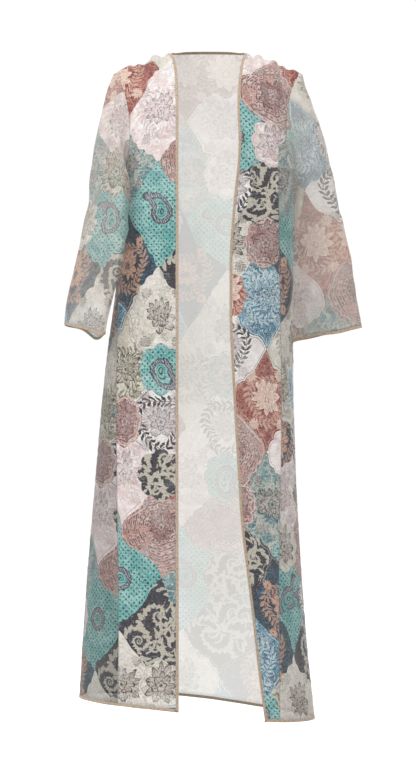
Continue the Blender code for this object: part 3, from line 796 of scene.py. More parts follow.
cloth_pieces = [sew_in("cloth_back", "back", *back_parts)]
for side, word in ((RIGHT, "right"), (LEFT, "left")):
    cloth_pieces.append(sew_in("cloth_front_" + word, "front_" + word, *halves[FRONT, side]))
    points, normals, flat = sleeves[side]
    rolled = [np.roll(part, -UPPER_ROWS, axis=1) for part in (points, normals)]
    cloth_pieces.append(sew_in("cloth_sleeve_" + word, "sleeve_" + word, *rolled, flat, True))
print("triangles:", sum(2 * len(piece.data.polygons) for piece in cloth_pieces))

# %% [markdown]
# The binding is a strip of tape folded over the raw edge. Its section is a flattened oval, fuller
# at the fold than where it is stitched down, and it is swept along the very points of the cloth's
# edge. Two short rows of thread catch its inner border. The tape is measured along its length
# too, so that the thread's stitches keep their size round every curve.

# %% A folded tape
TAPE_WIDTH, TAPE_OVERLAP, TAPE_THICK, TAPE_SINK = 0.0049, 0.0008, 0.0018, 0.00045
TAPE_SECTION = ((-1.0, 0.20), (-0.93, 0.62), (-0.72, 0.74), (-0.58, 0.60), (-0.44, 0.84),
                (0.0, 1.0), (0.5, 1.06), (0.82, 0.86), (0.96, 0.46), (1.0, 0.0))


def edge_away(points, normals, inner, closed=False):
    """Unit steps that leave the cloth square to its edge, along its surface."""
    if closed:
        along = np.roll(points, -1, axis=0) - np.roll(points, 1, axis=0)
    else:
        along = np.gradient(points, axis=0)
    away = unit(np.cross(along, normals))
    return away * np.sign(np.sum(away[0] * (points[0] - inner)))


def tape(name, points, normals, away, closed=False):
    """A folded tape along an edge, with a UV map of metres along and round it."""
    middle = 0.5 * (TAPE_WIDTH - TAPE_OVERLAP)
    half = 0.5 * (TAPE_WIDTH + TAPE_OVERLAP)
    upper = [(middle + half * a, 0.5 * TAPE_THICK * b) for a, b in TAPE_SECTION]
    section = np.array(upper + [(a, -b) for a, b in upper[-2::-1]])
    core = points - normals * TAPE_SINK
    rings = (core[:, None] + away[:, None] * section[None, :, :1]
             + normals[:, None] * section[None, :, 1:])
    path = np.concatenate((points, points[:1])) if closed else points
    steps = np.linalg.norm(np.diff(path, axis=0), axis=1)
    lengths = np.concatenate(([0.0], np.cumsum(steps)))
    rows, columns = rings.shape[:2]
    i, j = grid_faces(len(path), columns, True)
    faces = i % rows * columns + j % columns
    around = j / columns
    places = np.stack((lengths[i], around), axis=2)
    piece = mesh_piece(name, rings, faces, places, around.mean(axis=1) > 0.5, not closed)
    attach(piece, "root")
    return piece


print("points round a tape:", 2 * len(TAPE_SECTION) - 1)


# %% Bindings
def from_both_fronts(line, back_line):
    """Points and normals of a line from the right front, over the back, to the left front."""
    parts = []
    for k in (0, 1):
        right, left = halves[FRONT, RIGHT][k][line], halves[FRONT, LEFT][k][line]
        parts.append(np.concatenate((right[::-1], back_parts[k][back_line], left)))
    return parts


back_columns = back_parts[0].shape[1]
hem_points, hem_normals = from_both_fronts((-1, slice(None)), (-1, slice(1, back_columns - 1)))
hem_away = edge_away(hem_points, hem_normals, halves[FRONT, RIGHT][0][-2, -1])

neck_line = (0, slice(BACK_SIDE_COLUMNS + 1, back_columns - 1 - BACK_SIDE_COLUMNS))
edge_points, edge_normals = from_both_fronts((slice(None), -1), neck_line)
edge_out = edge_away(edge_points, edge_normals, halves[FRONT, RIGHT][0][-1, -2])
ends = [edge_points[end] + hem_away[end] * TAPE_WIDTH for end in (0, -1)]
edge_points = np.concatenate(([ends[0]], edge_points, [ends[1]]))
edge_normals = np.concatenate((edge_normals[:1], edge_normals, edge_normals[-1:]))
edge_out = np.concatenate((edge_out[:1], edge_out, edge_out[-1:]))

bindings = {
    "hem": tape("tape_hem", hem_points, hem_normals, hem_away),
    "front_neck": tape("tape_front_neck", edge_points, edge_normals, edge_out),
}
for side, word in ((RIGHT, "right"), (LEFT, "left")):
    points, normals, flat = sleeves[side]
    away = edge_away(points[-1], normals[-1], points[-2, 0], closed=True)
    bindings["cuff_" + word] = tape("tape_cuff_" + word, points[-1], normals[-1], away, True)
for word, piece in bindings.items():
    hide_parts("binding_" + word)
    print(piece.name, len(piece.data.polygons), "faces")

# %% [markdown]
# The cloth carries a collage print: diamond and round patches in eleven colourings, each with
# its own ornament. A printed pattern is drawn with formulas here, in metres of flat cloth, so it
# stays sharp at any distance. It is an ordinary patchwork of rosettes, paisleys, leaf sprays
# and scrolls, in a layout of its own.

# %% Colours and links
def tint(code):
    """A colour from its six-digit code, in the linear values that shaders use."""
    parts = [int(code[i:i + 2], 16) / 255.0 for i in (0, 2, 4)]
    return [p / 12.92 if p <= 0.04045 else ((p + 0.055) / 1.055) ** 2.4 for p in parts] + [1.0]


def made(*helpers):
    """Tell which helpers a cell has defined."""
    print("made:", *(helper.__name__ for helper in helpers))


def plug(tree, slot, value):
    """Link a wire to a socket, or set the socket's own value."""
    if isinstance(value, Wire):
        tree.links.new(value.socket, slot)
    else:
        slot.default_value = value


print("a pale beige in linear values:", [round(part, 3) for part in tint("D9D0C3")])

# %% [markdown]
# Shader sums are long when every node is made by hand. The small class below lets a socket be
# used in a plain sum. Each operator and each word in the table adds one Math node to the tree.

# %% A short hand for shader sums
class Wire:
    """A socket's value inside a node tree, for use in sums."""

    def __init__(self, tree, socket):
        self.tree, self.socket = tree, socket

    def __rsub__(self, other):
        return self * -1.0 + other

    def rise(self, low, high):
        """0 below low, 1 above high, and a smooth rise between (or a fall, if low is more)."""
        node = self.tree.nodes.new("ShaderNodeMapRange")
        node.interpolation_type = "SMOOTHSTEP"
        for slot, value in zip(node.inputs, (self, low, high, 0.0, 1.0)):
            plug(self.tree, slot, value)
        return Wire(self.tree, node.outputs[0])

    def line(self, width, soft=0.35):
        """1 where the value is within a width of zero."""
        return self.size().rise(width * (1.0 + soft), width * (1.0 - soft))


def sum_method(operation):
    """A method of Wire that adds one Math node."""
    def method(self, *others):
        node = self.tree.nodes.new("ShaderNodeMath")
        node.operation = operation
        for slot, value in zip(node.inputs, (self,) + others):
            plug(self.tree, slot, value)
        return Wire(self.tree, node.outputs[0])
    return method


WORDS = {"__add__": "ADD", "__sub__": "SUBTRACT", "__mul__": "MULTIPLY", "__truediv__": "DIVIDE",
         "size": "ABSOLUTE", "most": "MAXIMUM", "least": "MINIMUM", "floor": "FLOOR",
         "fract": "FRACT", "round": "ROUND", "sin": "SINE", "cos": "COSINE", "power": "POWER",
         "log": "LOGARITHM", "root": "SQRT", "angle_from": "ARCTAN2"}
for word, operation in WORDS.items():
    setattr(Wire, word, sum_method(operation))
print("words for sums:", len(WORDS))


# %% Places and mixtures
def split(wire):
    """The three numbers of a vector or colour."""
    node = wire.tree.nodes.new("ShaderNodeSeparateXYZ")
    plug(wire.tree, node.inputs[0], wire)
    return [Wire(wire.tree, socket) for socket in node.outputs]


def join(x, y, z=0.0):
    """A vector from three numbers."""
    node = x.tree.nodes.new("ShaderNodeCombineXYZ")
    for slot, value in zip(node.inputs, (x, y, z)):
        plug(x.tree, slot, value)
    return Wire(x.tree, node.outputs[0])


def polar(x, y):
    """Angle and distance of a place, from its two numbers."""
    return y.angle_from(x), (x * x + y * y).root()


def blend(under, over, factor, kind="RGBA"):
    """Mix two colours or two numbers by a factor."""
    tree = next(value.tree for value in (factor, under, over) if isinstance(value, Wire))
    node = tree.nodes.new("ShaderNodeMix")
    node.data_type = kind
    slots = [slot for slot in node.inputs if slot.enabled]
    for slot, value in zip(slots, (factor, under, over)):
        plug(tree, slot, value)
    return Wire(tree, [slot for slot in node.outputs if slot.enabled][0])


def lay(colour, *layers):
    """Lay colours over one another, each by its own factor."""
    for over, factor in layers:
        colour = blend(colour, over, factor)
    return colour


made(split, join, polar, blend, lay)


# %% Noise, and the patch table's columns
def cloud(place, scale, detail=2.0, rough=0.55, warp=0.0):
    """Two-dimensional noise: its value and its three-number colour."""
    node = place.tree.nodes.new("ShaderNodeTexNoise")
    node.noise_dimensions = "2D"
    for word, value in (("Vector", place), ("Scale", scale), ("Detail", detail),
                        ("Roughness", rough), ("Distortion", warp)):
        plug(place.tree, node.inputs[word], value)
    return Wire(place.tree, node.outputs["Fac"]), Wire(place.tree, node.outputs["Color"])


def by_kind(kind, column, colours=True):
    """A row of the patch table, picked by the patch's kind, as a stepped colour ramp."""
    node = kind.tree.nodes.new("ShaderNodeValToRGB")
    ramp = node.color_ramp
    ramp.interpolation = "CONSTANT"
    rows = [tint(row[column]) if colours else list(row[column]) + [1.0] for row in PATCHES]
    for i, value in enumerate(rows):
        stop = ramp.elements[0] if i == 0 else ramp.elements.new(i / len(rows))
        stop.color = value
    ramp.elements.remove(ramp.elements[-1])
    plug(kind.tree, node.inputs[0], (kind + 0.5) / len(rows))
    return Wire(kind.tree, node.outputs[0])


made(cloud, by_kind)

# %% [markdown]
# What more than one finish uses goes into a node group: a small tree with named inputs and
# outputs, built once and placed wherever it is needed with its own values.

# %% Node groups
FLOAT, VECTOR, COLOUR = "NodeSocketFloat", "NodeSocketVector", "NodeSocketColor"
KIND_BY_LENGTH = {1: FLOAT, 3: VECTOR, 4: COLOUR}
PLACE = (0.0, 0.0, 0.0)


def new_group(name, inputs, **outputs):
    """A shader node group. Inputs have names and values, and outputs names and kinds."""
    tree = bpy.data.node_groups.new(name, "ShaderNodeTree")
    for word, value in inputs.items():
        kind = KIND_BY_LENGTH[np.size(value)]
        slot = tree.interface.new_socket(name=word, in_out="INPUT", socket_type=kind)
        slot.default_value = value
    for word, kind in outputs.items():
        tree.interface.new_socket(name=word, in_out="OUTPUT", socket_type=kind)
    start = tree.nodes.new("NodeGroupInput")
    end = tree.nodes.new("NodeGroupOutput")
    return tree, [Wire(tree, start.outputs[word]) for word in inputs], end


def put_out(tree, end, *values):
    """Link a group's results to its outputs, and tell how many nodes it took."""
    for slot, value in zip(end.inputs, values):
        plug(tree, slot, value)
    print("group", tree.name, "has", len(tree.nodes), "nodes")


def place_group(tree, group, *values):
    """Put a group into a tree with its own values, in the order of its inputs."""
    node = tree.nodes.new("ShaderNodeGroup")
    node.node_tree = group
    for slot, value in zip(node.inputs, values):
        plug(tree, slot, value)
    return [Wire(tree, socket) for socket in node.outputs]


made(new_group, put_out, place_group)

# %% [markdown]
# The patch table is the designer's colour card: eleven kinds of patch, with the colours of the
# ground, its cloudy mottling, the leaves or scrolls, the flowers and the fine lines. Then four
# columns of three numbers say how much of each ornament a patch gets.

# %% The patch table
GROUND, MOTTLE, LEAF, BLOOM, INK, FIRST, SECOND, THIRD, FOURTH = range(9)
PATCHES = (
    # ground, mottle, leaf, bloom, ink,
    # (flower, scroll, paisley), (garland, dots, curls), (tendril, scribble, speckle),
    # (flower's fill, flower's lines, rings)
    ("143848", "356575", "C29C89", "D3B09B", "6F3B36",
     (1.0, 0.0, 0.0), (0.9, 0.0, 0.0), (0.0, 0.0, 0.8), (0.95, 0.70, 0.0)),
    ("7F463F", "A7716A", "CBAA9B", "DDC6B6", "E3D2C4",
     (1.0, 0.0, 0.0), (0.7, 0.0, 0.0), (0.5, 0.0, 0.7), (0.55, 0.90, 0.0)),
    ("35343F", "4E4C58", "C4BEB0", "D2CCBF", "6F6C68",
     (0.0, 1.0, 0.0), (0.0, 0.0, 0.0), (0.0, 0.0, 0.3), (0.0, 0.0, 0.0)),
    ("EAE8E6", "D3CAC8", "38363F", "A08A92", "33303A",
     (0.8, 0.0, 0.0), (1.0, 0.0, 0.0), (0.0, 0.5, 0.1), (0.30, 0.75, 0.0)),
    ("68A3A1", "9CC4C0", "A8A1AA", "24384D", "1A2834",
     (0.0, 0.0, 1.0), (0.0, 1.0, 0.0), (0.0, 0.2, 0.5), (0.0, 0.0, 0.0)),
    ("C4BDB0", "DDD8CE", "7C7A69", "A4A08D", "403E38",
     (1.0, 0.0, 0.0), (0.9, 0.0, 0.0), (0.3, 0.5, 0.2), (0.45, 0.90, 0.0)),
    ("587C83", "8CA5A6", "CBC3B6", "BDB0A5", "2F3B46",
     (1.0, 0.0, 0.0), (0.7, 0.0, 0.0), (0.7, 0.0, 0.3), (0.60, 0.80, 0.0)),
    ("285F76", "568BA0", "D7E2E2", "D6E0E0", "E2EAE9",
     (0.6, 0.0, 0.0), (0.5, 0.0, 0.6), (0.0, 0.0, 0.8), (0.0, 0.85, 0.0)),
    ("A9827B", "C9B2AB", "DDCDC6", "6A5760", "3F303A",
     (0.8, 0.0, 0.0), (0.3, 0.0, 0.0), (0.2, 0.3, 0.3), (0.35, 0.8, 0.9)),
    ("CDC7BD", "E2DDD5", "9A9588", "8E8078", "4A403F",
     (1.0, 0.0, 0.0), (0.0, 0.0, 0.0), (0.6, 0.6, 0.2), (0.22, 0.90, 0.0)),
    ("EFEBE9", "DBC6C2", "B5A3A3", "C2AAA7", "7C6E73",
     (1.0, 0.0, 0.0), (0.5, 0.0, 0.0), (0.4, 0.55, 0.2), (0.12, 0.75, 0.0)),
)
print(len(PATCHES), "kinds of patch")

# %% [markdown]
# The ground plan is a loose lattice of diamonds with bent and here and there scalloped sides, and
# some of its crossings carry a lobed medallion. The group gives each point of cloth its place
# inside its own patch, so every ornament below is drawn once, round a middle at zero.

# %% Ground plan of the patchwork
DIAMOND_WIDTH, DIAMOND_HEIGHT, MEDALLION = 0.168, 0.206, 0.040
LOOSE, BARE_CROSSINGS = 0.30, 0.64
TURN, LOBES = 6.2832, 15.708


def deal(number):
    """A kind of patch for each whole number, in a fixed round of all the kinds."""
    return (number / float(len(PATCHES))).fract() * float(len(PATCHES))


def in_metres(a, b):
    """A place in the diamond lattice, as metres across and up."""
    return (a + b) * (0.5 * DIAMOND_WIDTH), (a - b) * (0.5 * DIAMOND_HEIGHT)


def ground_plan():
    tree, (place,), end = new_group("ground_plan", {"Place": PLACE}, Spot=VECTOR, Kind=FLOAT,
                                    Rim=FLOAT, Dice=COLOUR)
    x, y, _ = split(place)
    a = x / DIAMOND_WIDTH + y / DIAMOND_HEIGHT
    b = x / DIAMOND_WIDTH - y / DIAMOND_HEIGHT
    loose, loose_colour = cloud(place, 9.0, 1.0, 0.5)
    loose_x, loose_y, _ = split(loose_colour)
    lobed = loose.rise(0.50, 0.56) * 0.034
    a_bent = a + (b * LOBES).sin().size() * lobed + (b * TURN).sin() * 0.03
    b_bent = b + (a * LOBES).sin().size() * lobed + (a * TURN + 1.0).sin() * 0.03
    a_bent = a_bent + (loose_x - 0.5) * LOOSE
    b_bent = b_bent + (loose_y - 0.5) * LOOSE
    a_cell, b_cell = a_bent.floor(), b_bent.floor()
    a_in, b_in = a_bent - a_cell - 0.5, b_bent - b_cell - 0.5
    rim = (0.5 - a_in.size().most(b_in.size())) * 0.134
    kind = deal(a_cell * 4.0 + b_cell * 9.0)
    spot = join(*in_metres(a - a_cell - 0.5, b - b_cell - 0.5))

    a_knot, b_knot = (a_bent + 0.5).floor(), (b_bent + 0.5).floor()
    knot_x, knot_y = in_metres(a - a_knot, b - b_knot)
    angle, reach = polar(knot_x, knot_y)
    scallop = (angle * 4.0).cos().size() * 0.0065 + knot_y.size() * 0.10 + MEDALLION
    dice_node = tree.nodes.new("ShaderNodeTexWhiteNoise")
    dice_node.noise_dimensions = "2D"
    plug(tree, dice_node.inputs["Vector"], join(a_knot, b_knot))
    chance = Wire(tree, dice_node.outputs["Value"])
    knot_rim = scallop - reach
    inside = knot_rim.rise(-0.0001, 0.0001) * chance.rise(BARE_CROSSINGS - 0.01,
                                                          BARE_CROSSINGS + 0.01)
    knot_kind = deal(a_knot * 7.0 + b_knot * 5.0 + 2.0)
    put_out(tree, end,
            blend(spot, join(knot_x, knot_y), inside, "VECTOR"),
            blend(kind, knot_kind, inside, "FLOAT").round(),
            blend(rim, knot_rim, inside, "FLOAT"), Wire(tree, dice_node.outputs["Color"]))
    return tree


ground_plan_group = ground_plan()

# %% [markdown]
# Each ornament is a small formula round its own middle. A rosette is a circle whose radius
# swings with the angle, to pointed petals. A paisley is a round with a tip, which is turned more
# the further out it lies, and its depth gives the echo lines inside it. A scroll is four spiral
# bands that run into each other, as in damask. A spray is a stem with slanting leaves.

# %% Rosette and paisley
def rosette():
    tree, (spot, radius, petals, notch), end = new_group(
        "rosette", {"Spot": PLACE, "Radius": 0.03, "Petals": 8.0, "Notch": 0.3},
        Share=FLOAT, Petal=FLOAT, Angle=FLOAT)
    x, y, _ = split(spot)
    angle, reach = polar(x, y)
    petal = (angle * petals * 0.5).sin().size()
    round_part = 1.0 - (angle * petals * 0.5).cos().size().power(0.6)
    point_part = petal.power(0.7)
    edge = radius * (1.0 - notch * round_part - point_part * 0.13)
    put_out(tree, end, reach / edge, petal, angle)
    return tree


def paisley():
    tree, (spot, size, bend), end = new_group(
        "paisley", {"Spot": PLACE, "Size": 0.07, "Bend": 1.7}, Depth=FLOAT)
    x, y, _ = split(spot)
    angle, reach = polar(y, x)
    reach = reach / size
    tip = (angle + reach * bend).cos().most(0.0).power(5.0)
    put_out(tree, end, (1.0 - reach / (tip * 0.44 + 0.31)) * 0.42)
    return tree


rosette_group, paisley_group = rosette(), paisley()

# %% Scroll and spray
def scroll():
    tree, (spot, size, turns), end = new_group(
        "scroll", {"Spot": PLACE, "Size": 0.03, "Turns": 5.0}, Band=FLOAT)
    x, y, _ = split(spot)
    bands = []
    for shift_x, shift_y, arms, lobes in ((0.60, 0.70, 2.0, 13.0), (-0.70, -0.85, -2.0, 11.0),
                                          (-1.05, 0.95, 1.0, 12.0), (1.15, -1.05, -1.0, 12.0)):
        angle, reach = polar(x - size * shift_x, y - size * shift_y)
        reach = (reach / size).most(0.05)
        wave = (angle * arms + reach.log(2.718) * turns).sin()
        lobe = (angle * lobes + reach * 14.0).sin() * 0.34
        bands.append(wave + lobe - reach * 0.55)
    put_out(tree, end, bands[0].most(bands[1]).most(bands[2].most(bands[3])))
    return tree


def spray():
    tree, (spot, pitch, leaf), end = new_group(
        "spray", {"Spot": PLACE, "Pitch": 0.012, "Leaf": 0.016}, Leaf=FLOAT, Vein=FLOAT)
    x, y, _ = split(spot)
    off = y - (x * 70.0).sin() * 0.006
    slide = x - off.size() * 0.75
    step = ((slide / pitch).fract() - 0.5) * pitch
    share = (off.size() / leaf).least(1.0)
    half = (share * (0.5 * TURN)).sin() * pitch * 0.42 * (1.0 - share * 0.35)
    body = (half - step.size()).rise(-0.0003, 0.0003)
    vein = step.line(0.00035) * body
    stem = off.line(0.0008)
    put_out(tree, end, body.most(stem), vein)
    return tree


scroll_group, spray_group = scroll(), spray()

# %% [markdown]
# A flower is three rosettes, one in another, in a fan shape that is turned by the patch's dice.
# Its lines are the petals' outlines, the gaps between them and a hatching at their tips.

# %% Flower
def turned(wire, angle):
    """A place turned round zero."""
    node = wire.tree.nodes.new("ShaderNodeVectorRotate")
    node.rotation_type = "Z_AXIS"
    plug(wire.tree, node.inputs["Vector"], wire)
    plug(wire.tree, node.inputs["Angle"], angle)
    return Wire(wire.tree, node.outputs[0])


def flower():
    tree, (spot, radius, fan), end = new_group(
        "flower", {"Spot": PLACE, "Radius": 0.034, "Fan": 0.4},
        Outer=FLOAT, Middle=FLOAT, Core=FLOAT, Lines=FLOAT, Rings=FLOAT)
    x, y, _ = split(spot)
    fanned = join(x, y - x.size() * fan)
    outer, gap, angle = place_group(tree, rosette_group, fanned, radius, 11.0, 0.26)
    middle, middle_gap, _ = place_group(tree, rosette_group, fanned, radius * 0.60, 7.0, 0.32)
    core = place_group(tree, rosette_group, spot, radius * 0.28, 5.0, 0.30)[0]
    outer_in, middle_in = outer.rise(1.02, 0.98), middle.rise(1.03, 0.97)
    hatch = (angle * 47.0).sin().rise(0.1, 0.7) * (outer - 0.88).line(0.09) * outer_in * 0.7
    lines = (outer - 1.0).line(0.045).most((middle - 1.0).line(0.07)).most(hatch)
    lines = lines.most(gap.rise(0.20, 0.05) * outer_in * (1.0 - middle_in))
    lines = lines.most(middle_gap.rise(0.24, 0.08) * middle_in * 0.8)
    lines = lines.most((core - 1.0).line(0.12)).most(core.rise(0.42, 0.34))
    beads = (angle * 31.0).sin().rise(-0.3, 0.3)
    wave = polar(x, y)[1] / radius * 3.4 + gap * 0.30
    rings = (wave.fract() - 0.5).line(0.13).most(((wave + 0.5).fract() - 0.5).line(0.15) * beads)
    put_out(tree, end, outer_in, middle_in, core.rise(1.05, 0.97), lines, rings)
    return tree


flower_group = flower()

# %% [markdown]
# Now the ornaments are laid over the ground, each in the amount that the patch table gives. A
# screen print on thin crepe is never quite even: the ink is dry and broken in places, and older
# looking where a ground of mottled strokes shows through. Noises do that.

# %% Noises, places and amounts
HAND_WOBBLE, FINE_WOBBLE = 0.0065, 0.0016


def print_values(tree, place):
    """What the layers of the print share: its noises, its place in a patch, its amounts."""
    v = SimpleNamespace(tree=tree, place=place)
    v.broad, broad_colour = cloud(place, 34.0, 4.0, 0.62, 0.6)
    v.fine, fine_colour = cloud(place, 260.0, 3.0, 0.7)
    v.hand, hand_colour = cloud(place, 95.0, 2.0, 0.6)
    _, v.broad_y, v.broad_z = split(broad_colour)
    hand_x, hand_y, _ = split(hand_colour)
    fine_x, fine_y, _ = split(fine_colour)
    flat_x, flat_y, _ = split(place)
    v.stroke, _ = cloud(join(flat_x * 45.0, flat_y * 420.0), 1.0, 2.0, 0.6)

    v.plain_spot, v.kind, v.rim, dice = place_group(tree, ground_plan_group, place)
    v.dice_x, v.dice_y, v.dice_z = split(dice)
    plain_x, plain_y, _ = split(v.plain_spot)
    v.x = plain_x + (hand_x - 0.5) * HAND_WOBBLE + (fine_x - 0.5) * FINE_WOBBLE
    v.y = plain_y + (hand_y - 0.5) * HAND_WOBBLE + (fine_y - 0.5) * FINE_WOBBLE
    v.spot = join(v.x, v.y)
    v.flower, v.scroll, v.paisley = split(by_kind(v.kind, FIRST, False))
    v.garland, v.dots, v.curls = split(by_kind(v.kind, SECOND, False))
    v.tendril, v.scribble, v.speckle = split(by_kind(v.kind, THIRD, False))
    v.fill, v.line_work, v.rings = split(by_kind(v.kind, FOURTH, False))
    v.leaf, v.bloom, v.ink = (by_kind(v.kind, column) for column in (LEAF, BLOOM, INK))
    return v


print("columns of a patch:", len(PATCHES[0]))


# %% Ground and small marks
def ground_layers(v):
    """The mottled ground, and the small marks that lie straight on it."""
    speckle = (v.fine * 0.75 + v.broad * 0.5).rise(0.58, 0.72) * v.speckle
    mottle = (v.broad * 0.8 + v.stroke * 0.5 + v.fine * 0.25).rise(0.62, 0.98)
    ground = blend(by_kind(v.kind, GROUND), by_kind(v.kind, MOTTLE), mottle.most(speckle * 0.55))
    swirl, _ = cloud(v.place, 40.0, 1.0, 0.5, 1.2)
    scribble = ((swirl * 30.0 + v.fine * 1.6).fract() - 0.5).line(0.13)
    scribble = scribble * v.hand.rise(0.36, 0.54)
    curls = ((swirl * 9.0 + v.hand * 1.6).fract() - 0.5).line(0.10)
    curls = curls.most(v.fine.rise(0.62, 0.68))
    tendril = (swirl - 0.5).line(0.016).most((v.broad_z - 0.52).line(0.007))
    bud = (v.broad_y * v.broad_z).rise(0.325, 0.335) * (v.broad * v.hand).rise(0.23, 0.25)
    return ground, lay(ground, (v.ink, scribble * v.scribble * 0.6),
                       (v.ink, curls * v.curls * 0.8), (v.leaf, tendril.most(bud) * v.tendril))


made(ground_layers)


# %% Scrolls, garlands, dots and paisleys
def ornament_layers(v, ground, colour):
    """The scrolls, the garlands of leaves, the dots and the paisleys."""
    band = place_group(v.tree, scroll_group, turned(v.spot, v.dice_z * 3.0), 0.0315, 5.4)[0]
    band = band + (v.hand - 0.5) * 0.7
    scroll_mask = band.rise(0.02, 0.08) * v.scroll
    scroll_line = ((band * 4.6).fract() - 0.5).line(0.13) * scroll_mask
    angle, reach = polar(v.x, v.y)
    bow = join(angle * 0.043, reach - 0.043 - (v.dice_x - 0.5) * 0.010)
    spray_leaf, spray_vein = place_group(v.tree, spray_group, bow, 0.0105, 0.0125)
    drop = place_group(v.tree, paisley_group, turned(v.spot, v.dice_y * 6.0), 0.072, 1.7)[0]
    stripes = ((v.x + v.y * 0.6) * 1300.0).sin().rise(-0.2, 0.2) * (drop - 0.085).line(0.055)
    drop_lines = (drop - 0.01).line(0.022).most((drop - 0.16).line(0.014)).most(stripes)
    drop_lines = drop_lines.most((drop - 0.27).line(0.012)).most((drop - 0.36).line(0.02))
    dot_x = ((v.x + v.y) * 88.0).fract() - 0.5
    dot_y = ((v.x - v.y) * 88.0).fract() - 0.5
    dots = (dot_x * dot_x * 1.6 + dot_y * dot_y).rise(0.085, 0.05) * v.dots
    return lay(
        colour,
        (v.leaf, scroll_mask.most(spray_leaf * v.garland) * 0.95),
        (v.ink, (spray_vein * v.garland).most(scroll_line) * 0.7),
        (v.ink, dots * (1.0 - drop.rise(-0.02, 0.0) * v.paisley) * 0.85),
        (v.bloom, drop.rise(0.0, 0.01) * v.paisley * 0.75),
        (v.leaf, (drop - 0.085).line(0.065) * v.paisley * 0.9),
        (ground, drop.rise(0.17, 0.18) * v.paisley * 0.9),
        (v.ink, drop_lines * v.paisley * 0.85))


made(ornament_layers)


# %% Flowers and their rings
def flower_layers(v, ground, colour):
    """A large flower in the middle of a patch, and four small ones round it."""
    outer, middle, core, lines, rings = place_group(
        v.tree, flower_group, turned(v.spot, (v.dice_z - 0.5) * 2.2), v.dice_x * 0.014 + 0.028,
        0.42)
    small_spot = join(v.x.size() - 0.033, v.y.size() - 0.047)
    small, _, small_core, small_lines, _ = place_group(
        v.tree, flower_group, small_spot, 0.0115, 0.2)
    veins = ((v.fine * 5.0 + v.hand * 3.0).fract() - 0.5).line(0.16) * outer * 0.35
    return lay(
        colour,
        (v.ink, rings * (1.0 - outer) * v.rings * v.broad.rise(0.36, 0.50) * 0.85),
        (v.leaf, core.most(small) * v.rings * 0.6),
        (v.bloom, outer.most(small) * v.flower * v.fill),
        (blend(v.bloom, v.leaf, 0.6), middle * v.flower * v.fill * 0.8),
        (ground, core.most(small_core) * v.flower * v.fill * 0.8),
        (v.ink, lines.most(small_lines).most(veins) * v.flower * v.line_work))


made(flower_layers)


# %% The whole print, with its wear
def collage():
    tree, (place, fade, paper), end = new_group(
        "collage_print", {"Place": PLACE, "Fade": 0.0, "Paper": tint("E7E4DF")}, Colour=COLOUR)
    v = print_values(tree, place)
    ground, colour = ground_layers(v)
    colour = flower_layers(v, ground, ornament_layers(v, ground, colour))

    wash_x, _, _ = split(turned(v.plain_spot, v.dice_y * 6.0 + v.kind))
    wash = wash_x / 0.09 + v.broad * 1.3
    pale = blend(by_kind(v.kind, MOTTLE), tint("EFEBE7"), 0.35)
    worn = (v.broad_y * 0.7 + v.stroke * 0.6).rise(0.70, 0.95) * 0.24
    colour = lay(colour, (pale, wash.rise(0.60, 1.30) * v.scribble * 0.65),
                 (v.leaf, (v.rim - 0.0042).line(0.0008) * v.dice_y.rise(0.5, 0.52) * 0.7),
                 (tint("D8D4CE"), worn))
    tone = tree.nodes.new("ShaderNodeBrightContrast")
    tone.inputs["Contrast"].default_value = 0.05
    plug(tree, tone.inputs["Bright"], v.fine.rise(0.25, 0.75) * 0.14 - 0.11)
    plug(tree, tone.inputs["Color"], colour)
    put_out(tree, end, blend(Wire(tree, tone.outputs[0]), paper, fade))
    return tree


collage_group = collage()

# %% [markdown]
# The cloth is a thin crepe: threads under half a millimetre apart, a few of them thicker, and a
# slightly pebbled face. The gaps between the threads are far finer than a pixel, so here the
# threads only give relief, and how sheer the cloth is comes later as one share.

# %% Crepe weave
def crepe():
    tree, (place,), end = new_group("crepe_weave", {"Place": PLACE}, Relief=FLOAT)
    x, y, _ = split(place)
    wander, _ = cloud(place, 900.0, 2.0, 0.6)
    warp = (x * 13000.0 + wander * 2.2).sin()
    weft = (y * 11500.0 + wander * 2.6).sin()
    slub, _ = cloud(join(x * 60.0, y * 1400.0), 1.0, 2.0, 0.5)
    put_out(tree, end, warp.most(weft) * 0.35 + wander * 0.9 + slub.rise(0.55, 0.8) * 0.5)
    return tree


crepe_group = crepe()

# %% [markdown]
# The cloth lets some light through, and a layer behind shows faintly in the one before it. Each
# face mixes a printed surface with a clear one. A face that is seen from behind is clear, so a
# shell counts as one layer. Light that is only being tested for shadow skips the print, which
# keeps the render short. Down the side of each front the cloth lies double, and the print breaks
# at the strip's edge. The strip's darker, greyer tone and the thin dark line along its edge are
# painted shade.

# %% A fabric's shader
# The near-black grey is painted shade for the strips where the fronts lie double.
SLEEVE_BEIGE, DOUBLE_PAINTED_SHADE, WRONG_SIDE_WHITE = tint("D9D0C3"), tint("2E2C28"), tint("FDFBF6")
DOUBLE_SHIFT, SHADE = (0.061, 0.083), 0.24


def fabric(name, gloss, sheen):
    """A new fabric: the material, its tree, its shader, and the place on the flat cloth."""
    finish = bpy.data.materials.new(name)
    finish.use_nodes = True
    tree = finish.node_tree
    shader = tree.nodes["Principled BSDF"]
    shader.inputs["Specular IOR Level"].default_value = gloss
    shader.inputs["Sheen Weight"].default_value = sheen
    uv = tree.nodes.new("ShaderNodeUVMap")
    uv.uv_map = "flat"
    return finish, tree, shader, Wire(tree, uv.outputs["UV"])


def dress(tree, shader, colour, rough, relief, strength, depth):
    """Give a fabric its colour, its roughness and its threads' relief."""
    plug(tree, shader.inputs["Base Color"], colour)
    plug(tree, shader.inputs["Roughness"], rough)
    bump = tree.nodes.new("ShaderNodeBump")
    bump.inputs["Strength"].default_value = strength
    bump.inputs["Distance"].default_value = depth
    plug(tree, bump.inputs["Height"], relief)
    tree.links.new(bump.outputs["Normal"], shader.inputs["Normal"])


made(fabric, dress)


